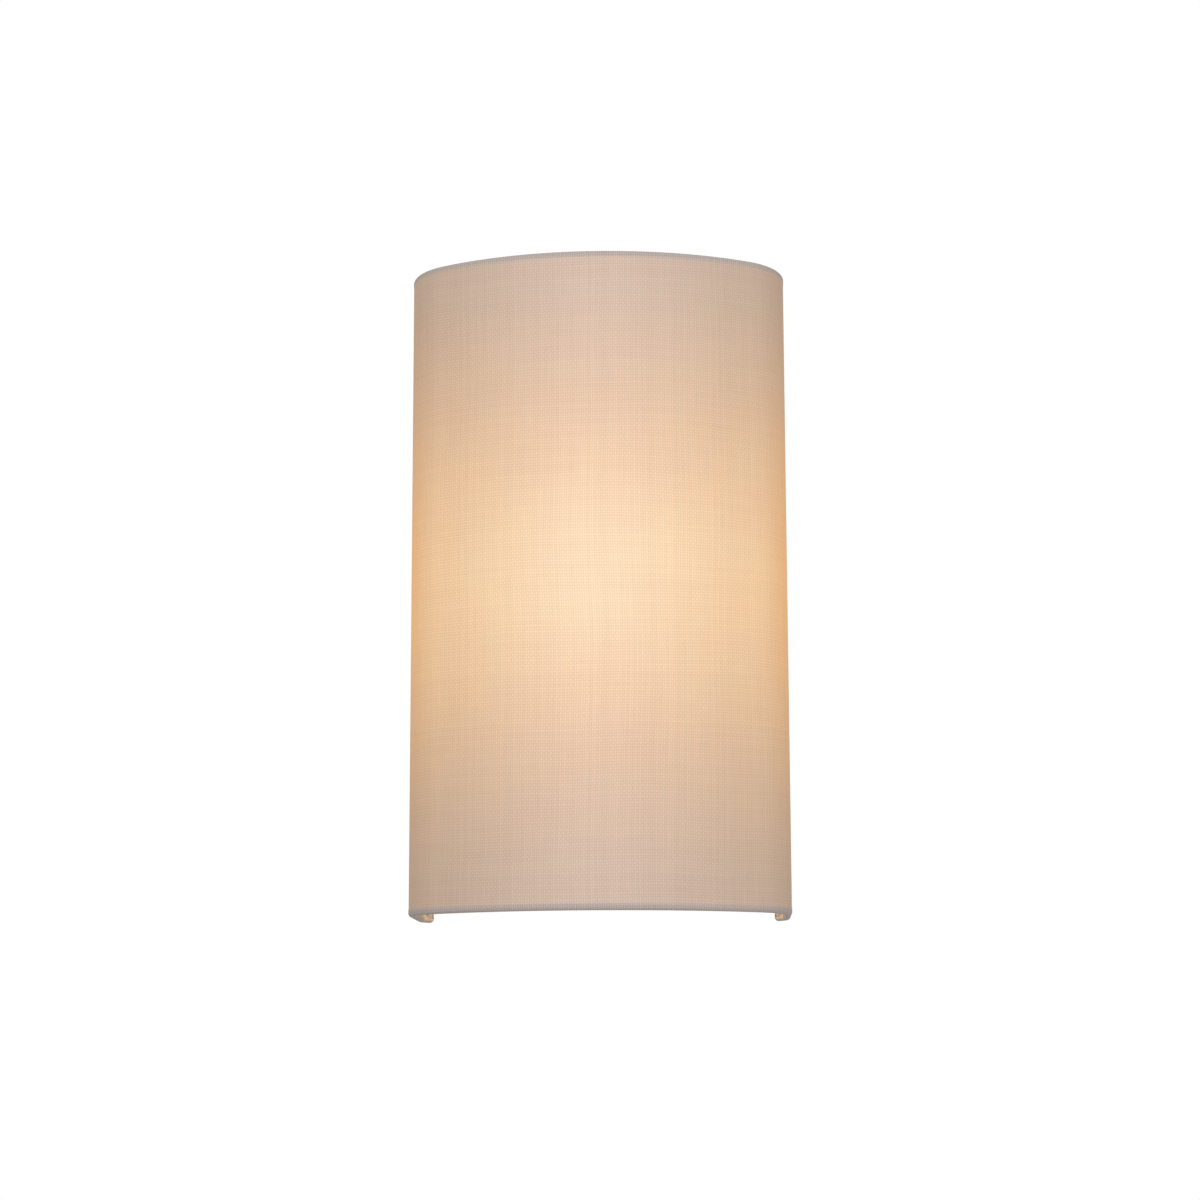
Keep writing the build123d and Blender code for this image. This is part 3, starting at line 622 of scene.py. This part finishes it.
def lit_lining(name, looks):
    """Milky lining sheet, with the bulb's light from inside painted on as a glow."""
    sheet = Finish(name, IOR=1.5, Emission_Strength=1.0)
    place = sheet.place()
    _, _, z = sheet.split(place)
    near = bell(z, looks.glow_lift, looks.glow_spread * 0.8)
    haze = sheet.cloud(place, scale=60.0, detail=3.0)
    sheet.surface(
        Base_Color=sheet.blend(haze, (0.86, 0.82, 0.75, 1.0), (0.82, 0.77, 0.69, 1.0)),
        Emission_Color=sheet.blend(near, (0.16, 0.095, 0.04, 1.0), (0.34, 0.245, 0.12, 1.0)),
        Roughness=0.42 + 0.10 * haze,
    )
    sheet.relief(sheet.cloud(place, scale=500.0, detail=2.0), depth=0.00002)
    return sheet.material


def edge_masks(linen, y, z, along, up, half_plan):
    """The rims, all the rolled edges, and their tucked side that faces the bulb, with painted shade
    on that side away from the uprights.
    """
    rim = abs(z).ramp(rim_z - roll_r * 1.15, rim_z - roll_r * 0.1)
    back = y.ramp(upright_y - roll_r, upright_y + roll_r * 0.6)
    rolled = rim.maths("MAXIMUM", back)
    # the tucked side begins 2 to 3 radians round a wire
    turn_start, turn_end = roll_r * 2.0, roll_r * 3.0
    tucked_rim = abs(up).ramp(rim_z + turn_start, rim_z + turn_end)
    tucked_back = abs(along).ramp(half_plan + turn_start, half_plan + turn_end)
    # painted shade: the tucked side gets less painted light away from an upright, as if the roll
    # shaded it there
    painted_light_at_upright = y.ramp(upright_y - roll_r * 7, upright_y - roll_r * 3)
    tucked = tucked_rim.maths("MAXIMUM", tucked_back) * (0.25 + 0.75 * painted_light_at_upright)
    return rim, rolled, tucked


def weave_threads(linen, looks, along, up, rim):
    """Plain weave: its light and dark, its relief, its level slubs and its patches."""
    # the threads wander by a few millimetres along their way
    waves, wander = 9, 0.006
    bow = linen.cloud(linen.join(along * waves, up * waves), scale=1.0, detail=1.0) * wander
    warp = (along + bow) * (1 / looks.warp_pitch)
    weft = (up + bow) * (1 / looks.weft_pitch)
    warp_shade, weft_shade = (
        linen.add("TexWhiteNoise", {"noise_dimensions": "1D"}, {"W": thread.maths("FLOOR")})
        for thread in (warp, weft)
    )
    warp_slub = linen.cloud(linen.join(warp * 0.9, weft * 0.06), scale=1.0)
    weft_slub = linen.cloud(linen.join(warp * 0.05, weft * 0.9), scale=1.0)
    over = (warp * pi).maths("SINE") * (weft * pi).maths("SINE")
    patch = linen.cloud(linen.join(along, up), scale=26.0, detail=3.0)
    # dark gaps between threads
    warp_gap = 0.02 + patch * 0.08 + rim * 0.07
    weft_gap = 0.075 - patch * 0.07
    threads = 1.0 - (warp * (2 * pi)).maths("COSINE") * warp_gap
    threads = threads - (weft * (2 * pi)).maths("COSINE") * weft_gap + over * 0.03
    # each thread has its own shade, and slubs run a little way along it
    for grain, contrast in (
        (warp_shade, 0.040),
        (weft_shade, 0.026),
        (warp_slub, 0.07),
        (weft_slub, 0.06),
        (patch, 0.06),
    ):
        threads = threads + (grain - 0.5) * contrast
    return threads, over * 0.5 + warp_slub + weft_slub, weft_slub, patch


def lit_linen(name, looks, half_plan):
    """Plain-weave linen with painted light from behind, less of it where the cloth is rolled over
    the wires.
    """
    linen = Finish(
        name,
        Emission_Strength=1.0,
        Sheen_Weight=0.04,
        Sheen_Roughness=0.5,
        Specular_IOR_Level=0.25,
    )
    x, y, z = linen.split(linen.place())
    along, up, _ = linen.split(linen.add("UVMap", {"uv_map": "cloth"}))
    rim, rolled, tucked = edge_masks(linen, y, z, along, up, half_plan)
    threads, relief, slub, patch = weave_threads(linen, looks, along, up, rim)

    # painted light from inside: a little all over, a broad orange bell, a paler middle before the
    # bulb
    aside = abs(x)
    side = aside.ramp(half_width * 0.86, half_width)
    ahead = 1 - aside.ramp(0.0, half_width) * 0.65 - side * 0.35
    near = bell(z, looks.glow_lift, looks.glow_spread)
    side_share = aside.ramp(0.0, half_width * 0.9)
    seep = linen.blend(side_share, opaque(looks.seep), opaque(looks.side_seep))
    glow = linen.scaled(opaque(looks.glow), near)
    core = linen.scaled(opaque(looks.core), bell(z, looks.glow_lift, looks.core_spread) * ahead)
    through = linen.plus(linen.plus(seep, glow), core)
    # patches of the cloth are a little pinker or yellower
    pinker, yellower = (1.015, 0.99, 1.0, 1.0), (0.995, 1.01, 0.975, 1.0)
    tint = linen.blend(patch.ramp(0.3, 0.7), pinker, yellower)
    through = linen.blend(1.0, through, tint, "MULTIPLY")
    # painted shade where a second layer of cloth holds the light back, and painted light where its
    # inner side faces the bulb
    inside = linen.scaled(opaque(looks.inside), 0.8 + 0.5 * near)
    shown = linen.blend(tucked, linen.scaled(through, 1 - rolled * 0.8), inside)

    # painted light: the base colour of the returns beside the bulb is a deeper orange, as if the
    # bulb lit it
    painted_warm_returns = linen.blend(side * near, opaque(looks.linen), opaque(looks.painted_amber))
    linen.surface(
        Base_Color=linen.scaled(linen.blend(rim, painted_warm_returns, opaque(looks.rolled)), threads),
        Emission_Color=linen.scaled(shown, threads),
        Roughness=0.82 + 0.12 * slub,
    )
    linen.relief(relief, depth=0.00008)
    return linen.material


# ------------------------------------------------------------------ mesh helpers
def finish_piece(bm, name, material, body):
    """Turns a bmesh into an object at the origin that rides on a CAD body."""
    bmesh.ops.remove_doubles(bm, verts=bm.verts[:], dist=double_gap)
    bmesh.ops.recalc_face_normals(bm, faces=bm.faces[:])
    mesh = bpy.data.meshes.new(name)
    bm.to_mesh(mesh)
    bm.free()
    mesh.materials.append(material)
    mesh.polygons.foreach_set("use_smooth", [True] * len(mesh.polygons))
    piece = bpy.data.objects.new(name, mesh)
    bpy.context.scene.collection.objects.link(piece)
    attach(piece, body)
    return piece


def dress(material, *names):
    """Gives CAD nodes their finish."""
    for name in names:
        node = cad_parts[name]
        node.data.materials.clear()
        node.data.materials.append(material)


def verts_of(geom):
    """The vertices in what an operator returned."""
    return [item for item in geom if isinstance(item, bmesh.types.BMVert)]


def edges_of(geom):
    """The edges in what an operator returned."""
    return [item for item in geom if isinstance(item, bmesh.types.BMEdge)]


# ------------------------------------------------------------------ the cloth's section and plan
class ClothLines:
    """Radii and places that the cloth's section, plan and back edges share."""

    def __init__(self, sizes):
        self.sizes = sizes
        self.wall_r = roll_r - sizes.cloth / 2
        self.rim_r = self.wall_r + sizes.rim_proud
        self.step = sizes.roll_turn / sizes.roll_steps
        self.wire_x = half_width - roll_r
        self.back_x = half_width - sizes.back_radius
        self.back_y = upright_y - (sizes.back_radius - roll_r) * sin(sizes.back_turn)
        self.notch_low = strap_low.z - sizes.notch_margin
        self.notch_high = strap_high.z + sizes.notch_margin

    def upright(self, side):
        """Middle of the right (1) or left (-1) upright."""
        return Vector((side * upright_x, upright_y, 0.0))

    def outward(self, side):
        """Square to the cloth at its back edge, out of the shade."""
        return Vector((side * cos(self.sizes.back_turn), sin(self.sizes.back_turn), 0.0))

    def onward(self, side):
        """Along the cloth at its back edge, away from the front."""
        return Vector((-side * sin(self.sizes.back_turn), cos(self.sizes.back_turn), 0.0))

    def plan_runs(self):
        """The plan from the right upright to the left one, in runs of centre, turn, radius, steps.

        A straight run has no centre. Its turn is its length towards the front, and its radius 1.
        """
        sizes = self.sizes
        wide_y = -(sizes.wall_gap + sizes.side_run)
        corner_x = half_width - sizes.corner_radius
        centre_back = (corner_x**2 - sizes.front_bulge**2) / (2 * sizes.front_bulge)
        front_r = sizes.corner_radius + sizes.front_bulge + centre_back
        turn = atan2(centre_back, corner_x)
        straight = self.back_y - wide_y
        return [
            ((self.back_x, self.back_y), sizes.back_turn, sizes.back_radius, back_steps),
            (None, straight, 1.0, straight_steps),
            ((corner_x, wide_y), turn, sizes.corner_radius, corner_steps),
            ((0.0, wide_y + centre_back), pi - 2 * turn, front_r, front_steps),
            ((-corner_x, wide_y), turn, sizes.corner_radius, corner_steps),
            (None, -straight, 1.0, straight_steps),
            ((-self.back_x, self.back_y), sizes.back_turn, sizes.back_radius, back_steps),
        ]


def roll_section(bm, last, height, lines, up):
    """Takes the section's last point round the rim wire at a height."""
    centre = (lines.wire_x, lines.back_y, height)
    for _ in range(lines.sizes.roll_steps):
        turn = {"cent": centre, "axis": (0, 1, 0), "angle": lines.step}
        spun = bmesh.ops.spin(bm, geom=last, steps=1, **turn)
        last = verts_of(spun["geom_last"])
        last[0][up] -= lines.rim_r * lines.step
    return last


def draw_section(bm, lines, up):
    """Top roll, wall and bottom roll of the cloth, where the right return starts to turn in."""
    sizes, rim_r, wall_r = lines.sizes, lines.rim_r, lines.wall_r
    raw_x = lines.wire_x + rim_r * cos(sizes.roll_turn)
    raw_z = rim_z + rim_r * sin(sizes.roll_turn)
    start = bm.verts.new((raw_x, lines.back_y, raw_z))
    start[up] = rim_z + rim_r * sizes.roll_turn
    last = roll_section(bm, [start], rim_z, lines, up)

    # below a rim the cloth settles back to the wall, and it has edges where it is cut later
    settle = {
        rim_z - rim_r * 0.6: rim_r,
        rim_z - rim_r: (rim_r + wall_r) / 2,
        rim_z - rim_r * 1.25: wall_r,
    }
    between = [lines.notch_low * (1 - index / wall_steps) for index in range(1, wall_steps)]
    upper = [*settle, rim_z - sizes.cut_inward, lines.notch_high, lines.notch_low, *between]
    reach = {**settle, **{-height: x for height, x in settle.items()}, -rim_z: rim_r}
    for height in sorted([*upper, 0.0, *(-height for height in upper), -rim_z], reverse=True):
        last = bmesh.ops.extrude_vert_indiv(bm, verts=last)["verts"]
        last[0].co = (lines.wire_x + reach.get(height, wall_r), lines.back_y, height)
        last[0][up] = height
    roll_section(bm, last, -rim_z, lines, up)

    turn_in = Matrix.Rotation(sizes.back_turn, 3, "Z")
    centre = (lines.back_x, lines.back_y, 0)
    bmesh.ops.rotate(bm, verts=bm.verts[:], cent=centre, matrix=turn_in)
    return bm.edges[:]


def sweep_plan(bm, column, runs, along):
    """Takes the section round the plan and gives its last edges."""
    for centre, amount, radius, steps in runs:
        for _ in range(steps):
            if centre is None:
                grown = bmesh.ops.extrude_edge_only(bm, edges=column)["geom"]
                moved = verts_of(grown)
                bmesh.ops.translate(bm, verts=moved, vec=(0, -amount / steps, 0))
                column = [edge for edge in edges_of(grown) if all(v in moved for v in edge.verts)]
            else:
                turn = {"cent": (*centre, 0.0), "axis": (0, 0, -1), "angle": amount / steps}
                spun = bmesh.ops.spin(bm, geom=column, steps=1, **turn)
                moved = verts_of(spun["geom_last"])
                column = edges_of(spun["geom_last"])
            for vert in moved:
                vert[along] += abs(amount) * radius / steps
    return column


def roll_back_edge(bm, column, side, lines, along):
    """Takes the wall on round an upright, with a quarter sphere from it to each rim's roll."""
    centre = lines.upright(side)
    outward = lines.outward(side)
    # the wall's points lie further out than the rolls' tucked layers
    nearest = lines.wall_r * 0.9

    def on_wall(vert):
        between_rims = abs(vert.co.z) < rim_z + height_slack
        return between_rims and (vert.co - centre).dot(outward) > nearest

    strip = [edge for edge in column if all(on_wall(vert) for vert in edge.verts)]
    for _ in range(lines.sizes.roll_steps):
        turn = {"cent": centre, "axis": (0, 0, 1), "angle": side * lines.step}
        spun = bmesh.ops.spin(bm, geom=strip, steps=1, **turn)
        strip = edges_of(spun["geom_last"])
        for vert in verts_of(spun["geom_last"]):
            vert[along] -= side * lines.wall_r * lines.step
    for top in (1, -1):
        cap = [e for e in column if all(top * v.co.z > rim_z - height_slack for v in e.verts)]
        hinge = centre + Vector((0, 0, top * rim_z))
        turn = {"cent": hinge, "axis": outward * -side, "angle": top * pi / 2}
        bmesh.ops.spin(bm, geom=cap, steps=cap_steps, **turn)


def cut_tucked_layers(bm, lines):
    """Cuts the tucked layers away beside the straps and inside the corners."""
    sizes = lines.sizes
    cut = []
    for face in bm.faces:
        middle = face.calc_center_median()
        side = 1 if middle.x > 0 else -1
        offset = middle - lines.upright(side)
        across = -sizes.cut_inward < offset.dot(lines.outward(side)) < sizes.cut_outward
        beside = -sizes.cut_inward < offset.dot(lines.onward(side)) < sizes.cut_backward
        level = abs(middle.z)
        at_strap = lines.notch_low < level < lines.notch_high
        at_corner = rim_z - sizes.cut_inward < level < rim_z
        if across and beside and (at_strap or at_corner):
            cut.append(face)
    bmesh.ops.delete(bm, geom=cut, context="FACES")


# ------------------------------------------------------------------ pieces
class BuildShadeCloth(bpy.types.Operator):
    """Stretch the cloth round the frame and roll its four edges over the wires"""

    bl_idname = "wall_light.shade_cloth"
    bl_label = "Shade cloth"

    def execute(self, context):
        sizes = context.scene.shade_sizes
        lines = ClothLines(sizes)
        runs = lines.plan_runs()
        plan_length = sum(abs(amount) * radius for _, amount, radius, _ in runs)

        bm = bmesh.new()
        up = bm.verts.layers.float.new("up")
        along = bm.verts.layers.float.new("along")
        first_column = draw_section(bm, lines, up)
        last_column = sweep_plan(bm, first_column, runs, along)
        roll_back_edge(bm, first_column, 1, lines, along)
        roll_back_edge(bm, last_column, -1, lines, along)
        bmesh.ops.remove_doubles(bm, verts=bm.verts[:], dist=seam_gap)
        cut_tucked_layers(bm, lines)

        # the weave follows lengths along the flat cloth
        uv = bm.loops.layers.uv.new("cloth")
        for face in bm.faces:
            for loop in face.loops:
                loop[uv].uv = (loop.vert[along] - plan_length / 2, loop.vert[up])
        material = lit_linen("linen_cloth", context.scene.shade_looks, plan_length / 2)
        cloth = finish_piece(bm, "shade_cloth", material, "shade")
        skin = cloth.modifiers.new("cloth thickness", "SOLIDIFY")
        skin.thickness = sizes.cloth
        skin.offset = 0.0
        skin.use_even_offset = True
        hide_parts("shade_fabric")
        flat_width = plan_length + 2 * lines.wall_r * sizes.roll_turn
        return {"FINISHED"}


class FinishShadeFrame(bpy.types.Operator):
    """Finish the lining, the rim wires, the uprights and the cross straps"""

    bl_idname = "wall_light.shade_frame"
    bl_label = "Shade frame and lining"

    def execute(self, context):
        dress(lit_lining("lining_sheet", context.scene.shade_looks), "shade_liner")
        frame_white = powder_coat("frame_powder_coat", (0.78, 0.77, 0.74))
        wires = ("top_rim_wire", "bottom_rim_wire", "left_upright", "right_upright")
        dress(frame_white, *wires, "upper_cross_strap", "lower_cross_strap")
        return {"FINISHED"}


class FinishWallPlate(bpy.types.Operator):
    """Finish the wall plate, its brackets, rivets, nuts, grommet and earth terminal"""

    bl_idname = "wall_light.wall_plate"
    bl_label = "Wall plate"

    def execute(self, context):
        plate_white = powder_coat("plate_powder_coat", (0.76, 0.76, 0.745))
        dress(plate_white, "wall_plate", "lampholder_bracket")
        dress(plate_white, "upper_shade_bracket", "lower_shade_bracket")
        zinc = zinc_plate("zinc_plate", (0.56, 0.57, 0.59))
        dress(zinc, "shade_bracket_rivets", "lampholder_rivets", "clinch_nuts")
        dress(zinc, "threaded_nipple", "nipple_nut", "terminal_screws", "lampholder_screws")
        nickel = nickel_plate("knob_nickel", (0.62, 0.59, 0.54), pitch=0.00018, axis=1)
        dress(nickel, "upper_thumb_screw", "lower_thumb_screw")
        dress(black_rubber("grommet_rubber", (0.022, 0.022, 0.023)), "cable_grommet")
        brass = bright_brass("earth_brass", (0.70, 0.46, 0.18))
        dress(brass, "earth_screw", "earth_cup_washer", "terminal_tubes")
        dress(zinc_plate("tin_plate", (0.66, 0.66, 0.65)), "earth_ring_terminal")
        return {"FINISHED"}


class FinishLampholder(bpy.types.Operator):
    """Finish the lampholder, the terminal strip and the wires"""

    bl_idname = "wall_light.lampholder"
    bl_label = "Lampholder and wiring"

    def execute(self, context):
        cream = moulding("holder_moulding", (0.72, 0.70, 0.65))
        dress(cream, "lampholder_cap", "lampholder_sleeve")
        dress(unglazed_ceramic("holder_ceramic", (0.76, 0.73, 0.65)), "lampholder_insert")
        brass = bright_brass("shell_brass", (0.72, 0.50, 0.22))
        dress(brass, "lampholder_shell", "lampholder_contact")
        nylon = moulding("natural_nylon", (0.68, 0.66, 0.58), roughness=0.45)
        dress(nylon, "wire_bush", "terminal_block")
        dress(wire_sleeve("live_brown", (0.11, 0.045, 0.02)), "live_wire")
        dress(wire_sleeve("neutral_blue", (0.02, 0.075, 0.26)), "neutral_wire")
        green, yellow = (0.04, 0.23, 0.03), (0.72, 0.55, 0.03)
        dress(wire_sleeve("earth_green_yellow", green, stripe=yellow), "earth_wire")
        return {"FINISHED"}


class FinishBulb(bpy.types.Operator):
    """Finish the bulb"""

    bl_idname = "wall_light.bulb"
    bl_label = "Bulb"

    def execute(self, context):
        dress(opal_globe("opal_glass", strength=3.2), "bulb_globe")
        cap_metal = nickel_plate("bulb_cap_metal", (0.66, 0.66, 0.64), pitch=0.0004, axis=2)
        dress(cap_metal, "bulb_cap")
        dress(dark_glass("insulator_glass"), "bulb_insulator")
        dress(zinc_plate("contact_tin", (0.62, 0.62, 0.61)), "bulb_contact")
        return {"FINISHED"}


# ------------------------------------------------------------------ stage
def lay_floor(context, drop):
    """A plain pale floor below the light."""
    bm = bmesh.new()
    bmesh.ops.create_grid(bm, x_segments=1, y_segments=1, size=2.0)
    bmesh.ops.translate(bm, verts=bm.verts[:], vec=(0, 0, -drop))
    mesh = bpy.data.meshes.new("floor")
    bm.to_mesh(mesh)
    bm.free()
    pale = Finish("pale_floor")
    broad = pale.cloud(pale.place(), scale=6.0)
    pale.surface(
        Base_Color=pale.blend(broad, (0.82, 0.82, 0.82, 1.0), (0.8, 0.8, 0.8, 1.0)),
        Roughness=0.7 + 0.1 * pale.cloud(pale.place(), scale=30.0),
    )
    mesh.materials.append(pale.material)
    floor = bpy.data.objects.new("floor", mesh)
    context.scene.collection.objects.link(floor)


def surround(context, light):
    """Surroundings that look white and light the object from all round."""
    world = bpy.data.worlds.new("white_room")
    context.scene.world = world
    world.use_nodes = True
    sky = Nodes(world.node_tree)
    kinds = ("Is Camera Ray", "Is Glossy Ray", "Is Transmission Ray")
    camera_ray, glossy_ray, clear_ray = (sky.add("LightPath", output=kind) for kind in kinds)
    seen = camera_ray.maths("MAXIMUM", glossy_ray).maths("MAXIMUM", clear_ray)
    back = world.node_tree.nodes["Background"]
    grey, white = (light, light, light, 1.0), (1.0, 1.0, 1.0, 1.0)
    sky.feed(back.inputs["Color"], sky.blend(seen, grey, white))
    back.inputs["Strength"].default_value = 1.0


def hang_lamp(context, name, place, power, size):
    """A square soft lamp that points at the origin."""
    data = bpy.data.lights.new(name, "AREA")
    data.energy = power
    data.size = size
    lamp = bpy.data.objects.new(name, data)
    lamp.location = place
    lamp.rotation_euler = (-Vector(place)).to_track_quat("-Z", "Y").to_euler()
    context.scene.collection.objects.link(lamp)


def set_camera(context, settings):
    """Camera turned by yaw, then pitch, then roll."""
    pitch, yaw, roll = settings.pitch, settings.yaw, settings.roll
    forward = Vector((sin(yaw) * cos(pitch), cos(yaw) * cos(pitch), sin(pitch)))
    level_up = Vector((-sin(yaw) * sin(pitch), -cos(yaw) * sin(pitch), cos(pitch)))
    level_right = Vector((cos(yaw), -sin(yaw), 0.0))
    right = level_right * cos(roll) + level_up * sin(roll)
    up = level_up * cos(roll) - level_right * sin(roll)
    turn = Matrix((right, up, -forward)).transposed().to_4x4()
    camera = bpy.data.objects.new("camera", bpy.data.cameras.new("camera"))
    camera.data.sensor_width = 36.0
    camera.data.lens = settings.lens
    camera.data.clip_start = 0.01
    camera.matrix_world = Matrix.Translation(settings.camera_place) @ turn
    context.scene.collection.objects.link(camera)
    context.scene.camera = camera


class SetStage(bpy.types.Operator):
    """Set the floor, the soft lamps, the white surroundings and the camera"""

    bl_idname = "wall_light.stage"
    bl_label = "Stage"

    def execute(self, context):
        settings = context.scene.stage_settings
        lay_floor(context, settings.floor_drop)
        surround(context, settings.room_light)
        for name, place, power in (
            ("key_lamp", (-0.55, -1.5, 0.75), settings.key_power),
            ("fill_lamp", (0.9, -1.2, 0.2), settings.fill_power),
        ):
            hang_lamp(context, name, place, power, settings.lamp_size)
        set_camera(context, settings)
        context.scene.view_settings.view_transform = "Standard"
        return {"FINISHED"}


# ------------------------------------------------------------------ panel and registration
class WallLightPanel(bpy.types.Panel):
    """Builds the wall light piece by piece"""

    bl_idname = "VIEW3D_PT_wall_light"
    bl_label = "Wall light"
    bl_space_type = "VIEW_3D"
    bl_region_type = "UI"
    bl_category = "Wall light"

    def draw(self, context):
        for step in steps:
            self.layout.operator(step.bl_idname)
        for name, group in groups.items():
            settings = getattr(context.scene, name)
            for field in group.__annotations__:
                self.layout.prop(settings, field)


steps = [BuildShadeCloth, FinishShadeFrame, FinishWallPlate, FinishLampholder, FinishBulb, SetStage]
groups = {"shade_sizes": ShadeSizes, "shade_looks": ShadeLooks, "stage_settings": StageSettings}
classes = [*groups.values(), *steps, WallLightPanel]


def register():
    """Registers the classes and hangs the settings on the scene."""
    for each in classes:
        bpy.utils.register_class(each)
    for name, group in groups.items():
        setattr(bpy.types.Scene, name, PointerProperty(type=group))


def unregister():
    """Takes the settings and the classes away again."""
    for name in groups:
        delattr(bpy.types.Scene, name)
    for each in reversed(classes):
        bpy.utils.unregister_class(each)


def main():
    """Registers the add-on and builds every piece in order."""
    register()
    for step in steps:
        package, name = step.bl_idname.split(".")
        getattr(getattr(bpy.ops, package), name)()


if __name__ == "__main__":
    main()
